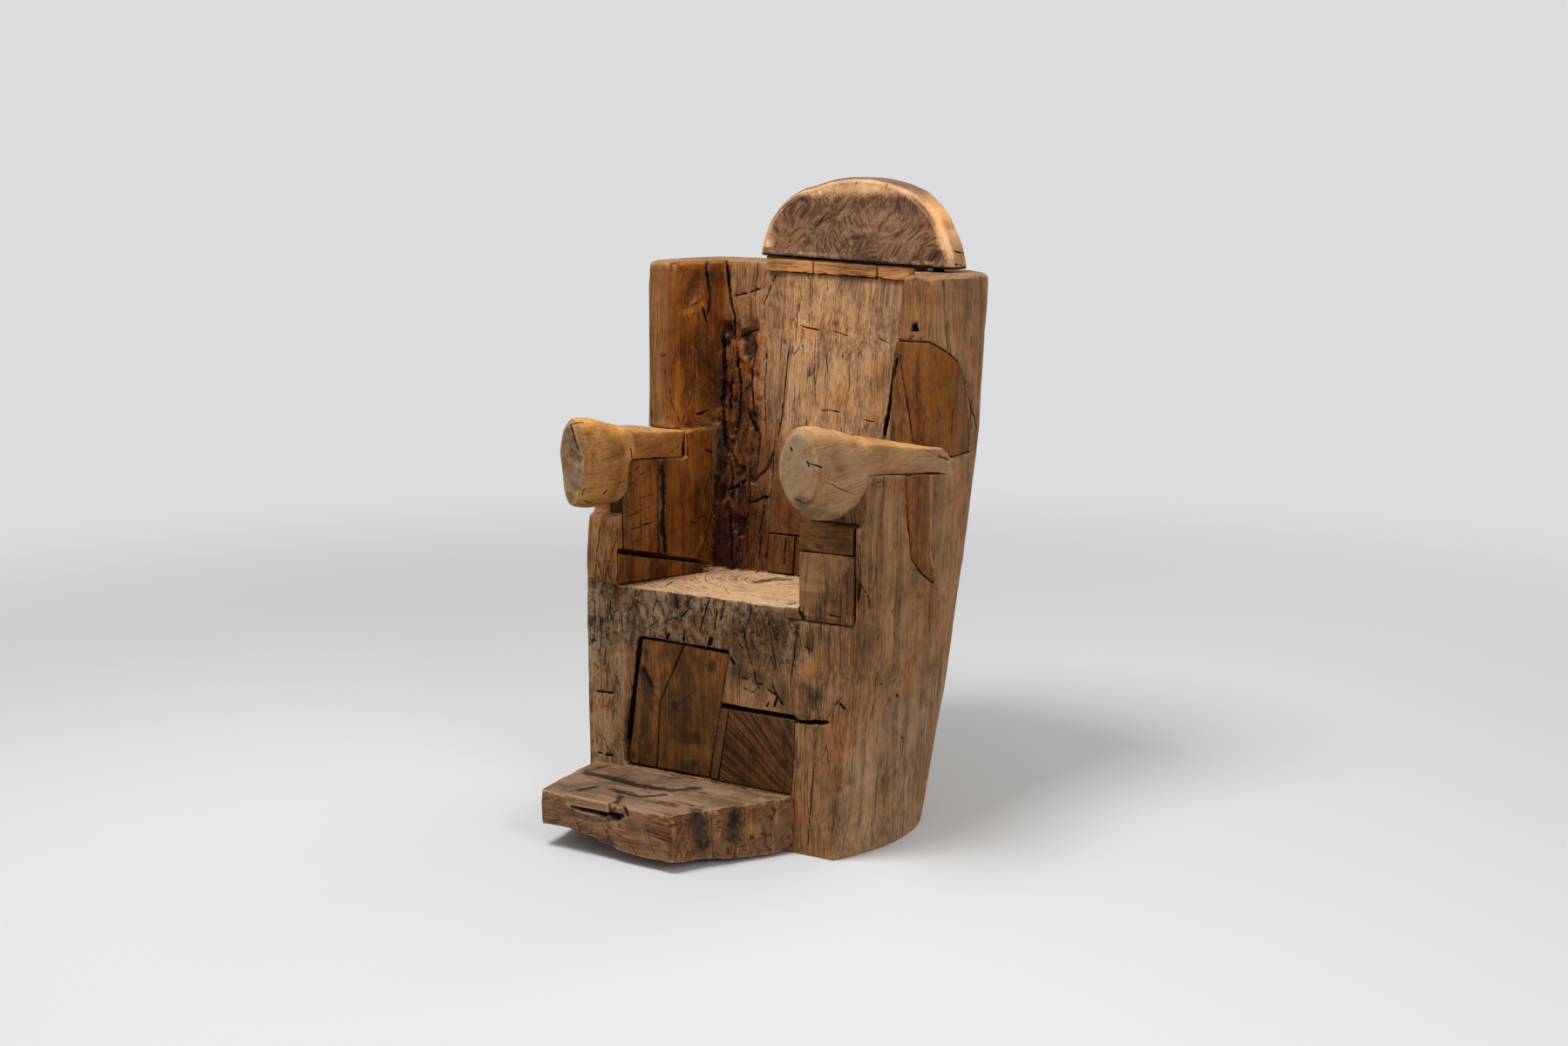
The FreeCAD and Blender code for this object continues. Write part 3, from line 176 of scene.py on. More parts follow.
def filled(name, points, triangles):
    """A new mesh of the given points and triangles."""
    mesh = bpy.data.meshes.new(name)
    mesh.vertices.add(len(points))
    mesh.vertices.foreach_set("co", points.astype(np.float32).ravel())
    mesh.loops.add(len(triangles) * 3)
    mesh.loops.foreach_set("vertex_index", triangles.astype(np.int32).ravel())
    mesh.polygons.add(len(triangles))
    mesh.polygons.foreach_set("loop_start", np.arange(0, len(triangles) * 3, 3, dtype=np.int32))
    mesh.polygons.foreach_set("use_smooth", np.ones(len(triangles), bool))
    mesh.update(calc_edges=True)
    return mesh


def hold(mesh, name, values):
    """Puts one number for each point into the mesh, for its finish to read."""
    layer = mesh.attributes.new(name, "FLOAT", "POINT")
    layer.data.foreach_set("value", values.astype(np.float32))


def changed(points, triangles, kind, settings, values):
    """The same surface after one of Blender's modifiers, with the values that its points hold."""
    mesh = filled("blank", points, triangles)
    for key, value in values.items():
        hold(mesh, key, value)
    holder = bpy.data.objects.new("blank", mesh)
    bpy.context.scene.collection.objects.link(holder)
    modifier = holder.modifiers.new("blank", kind)
    for key, value in settings.items():
        setattr(modifier, key, value)
    graph = bpy.context.evaluated_depsgraph_get()
    result = bpy.data.meshes.new_from_object(holder.evaluated_get(graph))
    points, triangles = net(result)
    kept = {}
    for key in values:
        read = np.zeros(len(points), np.float32)
        result.attributes[key].data.foreach_get("value", read)
        kept[key] = read.astype(np.float64)
    bpy.data.objects.remove(holder)
    bpy.data.meshes.remove(mesh)
    bpy.data.meshes.remove(result)
    return points, triangles, kept


class Carving:
    """A closed surface of triangles, in metres, with the values its finish reads at each point."""

    def __init__(self, node, voxel):
        """The CAD node's solid, its doubles merged, as an even net of faces one voxel wide."""
        self.node = node
        points, triangles = net(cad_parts[node].data)
        keys = np.round(points / 1e-6).astype(np.int64)
        _, first, merged = np.unique(keys, axis=0, return_index=True, return_inverse=True)
        triangles = merged.reshape(-1)[triangles]
        sound = ((triangles[:, 0] != triangles[:, 1]) & (triangles[:, 1] != triangles[:, 2])
                 & (triangles[:, 2] != triangles[:, 0]))
        self.points, self.triangles, self.values = changed(
            points[first], triangles[sound], "REMESH",
            {"mode": "VOXEL", "voxel_size": voxel, "adaptivity": 0.0}, {})
        self.pairs = None

    def edges(self):
        """Each edge once, as two point numbers."""
        if self.pairs is None:
            ends = np.concatenate([self.triangles[:, (0, 1)], self.triangles[:, (1, 2)],
                                   self.triangles[:, (2, 0)]])
            ends.sort(axis=1)
            count = len(self.points)
            keys = np.unique(ends[:, 0] * count + ends[:, 1])
            self.pairs = np.stack([keys // count, keys % count], axis=1)
        return self.pairs

    def normals(self):
        """The area-weighted mean of the cross products of the triangles at each point."""
        a, b, c = (self.points[self.triangles[:, i]] for i in range(3))
        face = np.cross(b - a, c - a)
        total = np.stack([sum(np.bincount(self.triangles[:, i], face[:, axis], len(self.points))
                              for i in range(3)) for axis in range(3)], axis=1)
        return total / np.maximum(np.linalg.norm(total, axis=1, keepdims=True), 1e-12)

    def mean(self, values):
        """The mean of the values at the neighbours of each point."""
        first, second = self.edges().T
        count = len(self.points)
        degree = np.bincount(first, minlength=count) + np.bincount(second, minlength=count)
        flat = values.reshape(count, -1)
        total = np.stack([np.bincount(first, column[second], count)
                          + np.bincount(second, column[first], count) for column in flat.T], axis=1)
        return (total / np.maximum(degree, 1)[:, None]).reshape(values.shape)

    def relax(self, rounds):
        """Wears the edges round: each point moves half way to its neighbours' mean, as many times
        as the number given for it."""
        rounds = np.broadcast_to(np.asarray(rounds, float), (len(self.points),))
        for turn in range(int(math.ceil(rounds.max()))):
            share = 0.5 * np.clip(rounds - turn, 0.0, 1.0)[:, None]
            self.points = self.points + (self.mean(self.points) - self.points) * share

    def push(self, height):
        """Moves each point along its normal by the height given for it, in millimetres."""
        self.points = self.points + self.normals() * (np.asarray(height) * MM)[:, None]

    def thin(self, wanted):
        """Merges faces where the surface is flat, down to the number wanted."""
        if len(self.triangles) > wanted:
            self.points, self.triangles, self.values = changed(
                self.points, self.triangles, "DECIMATE",
                {"decimate_type": "COLLAPSE", "ratio": wanted / len(self.triangles),
                 "use_collapse_triangulate": True}, self.values)
            self.pairs = None

    def split(self, chosen, longest):
        """Halves the chosen points' edges that are too long. A triangle becomes two, three or
        four. False when there is none to halve."""
        edges = self.edges()
        count = len(self.points)
        length = np.linalg.norm(self.points[edges[:, 0]] - self.points[edges[:, 1]], axis=1)
        marked = (length > longest) & (chosen[edges[:, 0]] | chosen[edges[:, 1]])
        if not marked.any():
            return False
        middle = np.full(len(edges), -1)
        middle[marked] = count + np.arange(marked.sum())
        self.points = np.concatenate([self.points, self.points[edges[marked]].mean(axis=1)])
        keys = edges[:, 0] * count + edges[:, 1]
        corners = self.triangles

        def between(first, second):
            low, high = np.minimum(first, second), np.maximum(first, second)
            return middle[np.searchsorted(keys, low * count + high)]

        def stacked(*faces):
            return [np.stack(face, axis=1) for face in faces]

        halves = np.stack([between(corners[:, i], corners[:, (i + 1) % 3]) for i in range(3)], 1)
        marks = (halves >= 0).sum(axis=1)
        made = [corners[marks == 0]]
        # One marked edge turns to the first place, and one unmarked edge to the last.
        for wanted, place in ((1, halves >= 0), (2, halves < 0)):
            rows = np.nonzero(marks == wanted)[0]
            if not len(rows):
                continue
            turn = np.argmax(place[rows], axis=1) + (0 if wanted == 1 else 1)
            order = (turn[:, None] + np.arange(3)) % 3
            a, b, c = np.take_along_axis(corners[rows], order, axis=1).T
            ab, bc, _ = np.take_along_axis(halves[rows], order, axis=1).T
            if wanted == 1:
                made += stacked((a, ab, c), (ab, b, c))
            else:
                made += stacked((ab, b, bc), (a, ab, bc), (a, bc, c))
        a, b, c = corners[marks == 3].T
        ab, bc, ca = halves[marks == 3].T
        made += stacked((a, ab, ca), (ab, b, bc), (ca, bc, c), (ab, bc, ca))
        self.triangles = np.concatenate(made)
        self.pairs = None
        return True

    def curvature(self):
        """How sharply the surface turns, per metre and outwards: the mean over the edges of the
        normals' difference along the edge over its squared length."""
        normals = self.normals()
        first, second = self.edges().T
        step = self.points[second] - self.points[first]
        turn = ((normals[second] - normals[first]) * step).sum(axis=1)
        turn /= np.maximum((step ** 2).sum(axis=1), 1e-9)
        count = len(self.points)
        degree = np.bincount(first, minlength=count) + np.bincount(second, minlength=count)
        total = np.bincount(first, turn, count) + np.bincount(second, turn, count)
        return self.mean(total / np.maximum(degree, 1))


# Lines and spots thrown from the camera onto the wood

def sight(across, down):
    """The direction from the camera through a place in its picture."""
    scale = CAMERA_SENSOR / (CAMERA_LENS * PICTURE[0])
    way = Vector(((across - PICTURE[0] / 2) * scale, (PICTURE[1] / 2 - down) * scale, -1.0))
    way.rotate(Euler(CAMERA_TURN))
    return way.normalized()


def thrown(tree, places, step=5.0):
    """The points where a line through places in the picture, in even steps, meets the wood."""
    ways = []
    for (x, y), (far_x, far_y) in zip(places, places[1:] or places):
        count = max(1, int(math.hypot(far_x - x, far_y - y) / step))
        for index in range(count):
            share = index / count
            ways.append(sight(x + (far_x - x) * share, y + (far_y - y) * share))
    ways.append(sight(*places[-1]))
    met = [tree.ray_cast(Vector(CAMERA_PLACE), way)[0] for way in ways]
    return np.array([tuple(point) for point in met if point is not None]).reshape(-1, 3)


def reach_to(points, line, limit):
    """For points near a line: their numbers, distance to it, and how far along it they are."""
    low, high = line.min(axis=0) - limit, line.max(axis=0) + limit
    near = np.nonzero(((points > low) & (points < high)).all(axis=1))[0]
    if not len(near):
        return near, np.zeros(0), np.zeros(0)
    starts, ends = (line[:-1], line[1:]) if len(line) > 1 else (line, line)
    best, along = np.full(len(near), 9.0), np.zeros(len(near))
    for index, (start, end) in enumerate(zip(starts, ends)):
        run = end - start
        share = np.clip(((points[near] - start) @ run) / max(run @ run, 1e-12), 0.0, 1.0)
        away = np.linalg.norm(points[near] - start - share[:, None] * run, axis=1)
        closer = away < best
        best[closer], along[closer] = away[closer], (index + share[closer]) / len(starts)
    kept = best < limit
    return near[kept], best[kept], along[kept]


def engrave(wood):
    """Cuts a piece's lines into it. Each is a groove whose depth falls from its middle to its sides
    as 1 minus the squared share of its half width, and that thins out at both ends."""
    rows = CUTS.get(wood.node)
    if not rows:
        return
    tree = BVHTree.FromPolygons(wood.points.tolist(), wood.triangles.tolist())
    lines = [(thrown(tree, places), width, depth, dark)
             for width, depth, dark, group in rows for places in group]
    lines = [cut for cut in lines if len(cut[0])]
    for _ in range(4):
        beside = np.zeros(len(wood.points), bool)
        for line, width, depth, dark in lines:
            if width < WIDE_CUT:
                beside[reach_to(wood.points, line, (width * 0.5 + 2.0) * MM)[0]] = True
        if not wood.split(beside, FINE_EDGE):
            break
    count = len(wood.points)
    wobble = 1.0 + 0.45 * swell(wood.points, 9 * MM, 11) + 0.25 * swell(wood.points, 4 * MM, 12)
    bent = wood.points + 1.3 * MM * np.stack(
        [swell(wood.points, 16 * MM, seed) for seed in (13, 14, 15)], 1)
    height, seam = np.zeros(count), np.zeros(count)
    for line, width, depth, dark in lines:
        near, away, along = reach_to(bent, line, (width * 0.85 + 1.0) * MM)
        ends = 1.0
        if len(line) > 2:
            ends = ease(along, -0.02, 0.12) * (1.0 - ease(along, 0.88, 1.02))
        across = away / (np.maximum(width * 0.5 * wobble[near], 0.4) * MM)
        groove = np.clip(1.0 - across ** 2, 0.0, 1.0) * (0.25 + 0.75 * ends)
        shadow = np.clip(2.6 - 2.0 * across, 0.0, 1.0) * (0.3 + 0.7 * ends)
        height[near] = np.minimum(height[near], -depth * groove)
        seam[near] = np.maximum(seam[near], dark * shadow)
    wood.push(height)
    wood.values["seam"] = seam
    wood.thin(MOST_FACES)


def spotted(wood):
    """A tint for each point: the wood is multiplied by a spot's colour in its middle, less and less
    towards its ragged rim."""
    tint = np.ones((len(wood.points), 3))
    rows = SPOTS.get(wood.node)
    if rows:
        tree = BVHTree.FromPolygons(wood.points.tolist(), wood.triangles.tolist())
        for places, radius, shade in rows:
            line = thrown(tree, places)
            if not len(line):
                continue
            ragged = 1.0 + 0.6 * rough(wood.points, radius * 0.8 * MM, 5, 3)
            near, away, _ = reach_to(wood.points, line, radius * 1.5 * MM)
            share = (1.0 - ease(away / (radius * MM * ragged[near]), 0.35, 1.0))[:, None]
            tint[near] *= 1.0 + (np.asarray(shade) - 1.0) * share
    return tint


# Finishes

class Reading:
    """A value in a finish's node tree. Arithmetic on readings adds Math nodes."""

    def __init__(self, finish, socket):
        self.finish, self.socket = finish, socket

    def worked(self, operation, first, second):
        return self.finish.add("ShaderNodeMath", {"operation": operation}, {0: first, 1: second})

    def __add__(self, other):
        return self.worked("ADD", self, other)

    __radd__ = __add__

    def __sub__(self, other):
        return self.worked("SUBTRACT", self, other)

    def __rsub__(self, other):
        return self.worked("SUBTRACT", other, self)

    def __mul__(self, other):
        return self.worked("MULTIPLY", self, other)

    __rmul__ = __mul__

    def __abs__(self):
        return self.worked("ABSOLUTE", self, 0.0)

    def eased(self, low, high):
        """0 below low, 1 above high and smooth between."""
        return self.finish.add("ShaderNodeMapRange", {"interpolation_type": "SMOOTHSTEP"},
                               {"Value": self, "From Min": low, "From Max": high})


class Finish:
    """The node tree of a material or a world, and the one way its nodes are added."""

    def __init__(self, owner):
        owner.use_nodes = True
        self.owner, self.tree = owner, owner.node_tree
        self.tree.nodes.clear()

    def add(self, kind, settings=None, values=None, output=0):
        """A node of a kind, its settings first, then the values or links of its inputs."""
        node = self.tree.nodes.new(kind)
        for key, value in (settings or {}).items():
            setattr(node, key, value)
        for key, value in (values or {}).items():
            socket = node.inputs[key]
            if isinstance(value, Reading):
                self.tree.links.new(value.socket, socket)
            else:
                socket.default_value = value
        return Reading(self, node.outputs[output]) if len(node.outputs) else node

    def blend(self, share, first, second, mode="MIX"):
        """Two colours mixed by a share."""
        return self.add("ShaderNodeMix", {"data_type": "RGBA", "blend_type": mode},
                        {0: share, 6: first, 7: second}, 2)

    def noise(self, place, scale, detail=4.0, roughness=0.55, distortion=0.0):
        """Noise from 0 to 1, most of it near a half."""
        return self.add("ShaderNodeTexNoise", None, {
            "Vector": place, "Scale": scale, "Detail": detail, "Roughness": roughness,
            "Distortion": distortion})

    def vector(self, operation, first, second, output=0):
        """Vector arithmetic; output 1 is a length."""
        return self.add("ShaderNodeVectorMath", {"operation": operation},
                        {0: first, (3 if operation == "SCALE" else 1): second}, output)

    def layer(self, name, output=2):
        """A value that the mesh holds at its points."""
        return self.add("ShaderNodeAttribute", {"attribute_name": name}, None, output)

    def moved(self, place, drift, reach):
        """A place moved by a drifting noise, up to half the reach each way."""
        return self.vector("ADD", place, self.vector("SCALE", self.vector(
            "SUBTRACT", drift, (0.5,) * 3), reach))

    def looked_at(self):
        """1 for a ray from the camera that comes straight, mirrored or through something clear."""
        return sum(self.add("ShaderNodeLightPath", None, None, f"Is {kind} Ray")
                   for kind in ("Camera", "Glossy", "Transmission"))


def colour(red, green, blue):
    """A colour from its shares of 255 as seen, in Blender's linear numbers."""
    return tuple(((part / 255 + 0.055) / 1.055) ** 2.4 if part > 10 else part / 3294.6
                 for part in (red, green, blue)) + (1.0,)


LOG_PITH = (0.03, 0.06, 0.0)
GRAIN_AXIS = {"X": (1, 0, 0), "Y": (0, 1, 0), "Z": (0, 0, 1)}
PALE_GREY = colour(150, 128, 102)
# The dark of dirt in seams, cracks and hairlines, also the colour of painted shade in hollows
DIRT_AND_SHADE = colour(24, 14, 8)
RUBBED = colour(232, 190, 144)
WARM_STAIN = colour(255, 226, 182)
COOL_STAIN = colour(205, 200, 196)
ROOM_COLOUR = (0.72, 0.72, 0.73, 1.0)


def worm_specks(finish, place):
    """1 in small holes, scattered one in each cell and kept in a quarter of the cells."""
    cells = {"Vector": finish.vector("MULTIPLY", place, (1.0, 1.0, 0.4)), "Scale": 40.0}
    away = finish.add("ShaderNodeTexVoronoi", None, cells, 0)
    kept = finish.add("ShaderNodeSeparateColor", None,
                      {0: finish.add("ShaderNodeTexVoronoi", None, cells, 1)}, 0)
    return (1.0 - away.eased(0.03, 0.09)) * kept.eased(0.76, 0.8)


def gouge_strokes(finish, place, drift):
    """Fine strokes in three sorts of patches, each sort ruled its own way and a little bent."""
    patch = finish.noise(place, 11.0, 1.0, 0.5)
    swirl = finish.moved(place, drift, 0.11)
    laid = None
    for patch_edge, turn in ((0.0, 0.9), (0.44, 2.1), (0.56, 2.8)):
        ruled = finish.add("ShaderNodeMapping", {"vector_type": "TEXTURE"}, {
            "Vector": swirl, "Rotation": (0.0, turn, 0.0), "Scale": (9.0, 1.0, 1.0)})
        cut = finish.noise(ruled, 190.0, 3.0, 0.7)
        laid = cut if laid is None else finish.add("ShaderNodeMix", {"data_type": "FLOAT"}, {
            0: patch.eased(patch_edge - 0.02, patch_edge + 0.02), 2: laid, 3: cut})
    return laid


def wood_finish(name, pale, deep, grain, pith, rings=0.25, bloom=0.25, relief=1.0, specks=0.5,
                rub=0.6, splits=0.5, strokes=0.0, fibres=0.8, contrast=0.22):
    """Waxed old wood: fibres, streaks, splits and hairline checks along the grain, growth rings
    round a pith where the grain ends, blotches, grey bloom, rubbed edges, dirt in the seams and
    painted shade in hollows and gaps, short cracks and pits where the wood is frail, and on gouged
    wood patches of strokes that each run their own way."""
    finish = Finish(bpy.data.materials.new(name))
    axis = GRAIN_AXIS[grain]

    def drawn_out(place, share):
        """The place drawn together along the grain, so that a pattern on it is drawn out."""
        return finish.vector("MULTIPLY", place, tuple(share if part else 1.0 for part in axis))

    place = finish.add("ShaderNodeTexCoord", None, None, 3)
    drift = finish.add("ShaderNodeTexNoise", None, {
        "Vector": place, "Scale": 5.0, "Detail": 1.5}, 1)
    bent = finish.moved(place, drift, 0.04)
    ends, seam, grey, worn, frail = (
        finish.layer(layer) for layer in ("ends", "seam", "bloom", "worn", "frail"))

    # Patterns of the grain
    fibre = finish.noise(drawn_out(bent, 0.014), 420.0, 2.0, 0.7)
    streak = finish.noise(drawn_out(bent, 0.03), 42.0, 6.0, 0.66)
    broad = finish.noise(drawn_out(bent, 0.1), 10.0, 3.0, 0.6)
    hairs = finish.noise(drawn_out(bent, 0.012), 390.0, 1.0, 0.5).eased(0.64, 0.7)
    blotch = finish.noise(place, 9.0, 6.0, 0.66, 0.8)
    mottle = finish.noise(place, 70.0, 6.0, 0.78)

    # Splits and short cracks run where a noise crosses a half, in patches. Pits are its low parts.
    line = abs(finish.noise(drawn_out(bent, 0.05), 24.0, 4.0, 0.55) - 0.5)
    patch = finish.noise(drawn_out(place, 0.3), 20.0, 2.0).eased(0.5, 0.56)
    open_split = (1.0 - line.eased(0.003, 0.014)) * patch * splits
    line = abs(finish.noise(drawn_out(bent, 0.3), 46.0, 4.0, 0.6, 0.6) - 0.5)
    patch = finish.noise(place, 19.0, 2.0).eased(0.44, 0.52)
    short = (1.0 - line.eased(0.004, 0.02)) * patch * frail
    eaten = (1.0 - finish.noise(drawn_out(place, 0.6), 58.0, 5.0, 0.7).eased(0.36, 0.46)) * (
        frail - 0.75).eased(0.0, 0.6)
    speck = worm_specks(finish, bent) * specks
    broken = [] if strokes else [short, eaten * 0.85]

    # How pale the wood is and how high it stands
    along_grain = 1.0 - ends * 0.8
    depth = (((streak * 0.75 + fibre * 0.75) * fibres + 0.75 * (1.0 - fibres)) * along_grain
             + (mottle * 0.9 + 0.3) * ends + broad * 0.3 + blotch * 0.55 + mottle * 0.25)
    height = (fibre * 0.5 + streak * 0.6) * along_grain * fibres + mottle * 0.45
    if rings:
        across = tuple(1.0 - part for part in axis)
        away = finish.vector("LENGTH", finish.vector("MULTIPLY", finish.vector(
            "SUBTRACT", bent, pith), across), (0, 0, 0), 1)
        away = finish.add("ShaderNodeCombineXYZ", None, {0: away + blotch * 0.012})
        depth = depth + (finish.noise(away, 150.0, 2.0, 0.6) - 0.5) * (ends * rings * 3.0)
    if strokes:
        laid = gouge_strokes(finish, place, drift)
        depth = depth + (laid - 0.5) * frail * (1.3 * strokes)
        height = height + laid * frail * (2.0 * strokes)

    # Colour, from the wood itself to what lies on it, with painted shade in hollows and gaps
    middle = 1.3
    shade = finish.blend(depth.eased(middle - contrast, middle + contrast), deep, pale)
    patch = finish.noise(place, 6.0, 5.0, 0.65)
    for share, stain in ((patch.eased(0.5, 0.66) * 0.75, WARM_STAIN),
                         ((1.0 - patch.eased(0.34, 0.47)) * 0.6, COOL_STAIN),
                         (1.0, finish.layer("tint", 0))):
        shade = finish.blend(share, shade, stain, "MULTIPLY")
    veil = (blotch * 0.6 + mottle * 0.75).eased(0.6, 0.86) * (grey * 0.75 + bloom * 0.3)
    shade = finish.blend(veil, shade, PALE_GREY)
    rubbed = worn * (mottle * 1.1 + 0.2)
    shade = finish.blend(rubbed * rub, shade, finish.blend(0.4, pale, RUBBED))
    shade = finish.blend(hairs * along_grain * fibres * 0.6, shade, DIRT_AND_SHADE)
    # Dirt in seams and cracks, and painted shade in hollows and under the headrest
    dark = (seam * 1.15 + (mottle - 0.5) * seam).eased(0.1, 0.95)
    for layer in [speck, open_split] + broken:
        dark = finish.add("ShaderNodeMath", {"operation": "MAXIMUM"}, {0: dark, 1: layer})
    shade = finish.blend(dark, shade, DIRT_AND_SHADE)

    height = height * relief - hairs * (0.5 * fibres) - speck - open_split
    for layer in broken:
        height = height - layer * 1.5
    bump = finish.add("ShaderNodeBump", None, {
        "Strength": 0.9, "Distance": 1.5 * MM, "Height": height})
    surface = finish.add("ShaderNodeBsdfPrincipled", None, {
        "Base Color": shade, "Roughness": 0.6 + mottle * 0.22 - rubbed * 0.2, "Normal": bump,
        "Specular IOR Level": 0.18})
    finish.add("ShaderNodeOutputMaterial", None, {"Surface": surface})
    return finish.owner


# What sets each slot's wood apart
LOOKS = {
    "log_wood": {"specks": 0.9, "splits": 0.7, "rings": 0.5},
    "arm_wood": {"bloom": 0.35, "relief": 0.35, "specks": 0.15, "splits": 0.0, "rings": 0.08,
                 "fibres": 0.6, "contrast": 0.26},
    "headrest_wood": {"rub": 1.0, "rings": 0.0, "splits": 0.0, "strokes": 1.2, "bloom": 0.1,
                      "fibres": 0.15},
    "door_wood": {"bloom": 0.1, "specks": 0.2, "rub": 0.2, "splits": 0.1, "relief": 0.6,
                  "fibres": 0.7, "contrast": 0.15},
    "block_wood": {"bloom": 0.15, "specks": 0.2, "rub": 0.2, "splits": 0.2, "fibres": 0.6,
                   "contrast": 0.16},
    "inlay_wood": {"bloom": 0.1, "specks": 0.3, "rub": 0.2, "splits": 0.3, "fibres": 0.8,
                   "contrast": 0.15},
    "strip_wood": {"bloom": 0.1, "specks": 0.2, "rub": 0.4, "splits": 0.6},
    "step_wood": {"bloom": 0.45, "splits": 0.9, "fibres": 0.6},
}
FINISHES = {}


def finish_for(slot, grain, pith):
    """The finish of a material slot with its grain along an axis, made once."""
    key = f"{slot}_{grain.lower()}_{'_'.join(str(round(part * 100)) for part in pith)}"
    if key not in FINISHES:
        tones = bpy.context.scene.throne_tones
        pale, deep = (tuple(getattr(tones, f"{slot}_{end}")) + (1.0,) for end in ("pale", "deep"))
        FINISHES[key] = wood_finish(key, pale, deep, grain, pith, **LOOKS.get(slot, {}))
    return FINISHES[key]


# The picture's marks

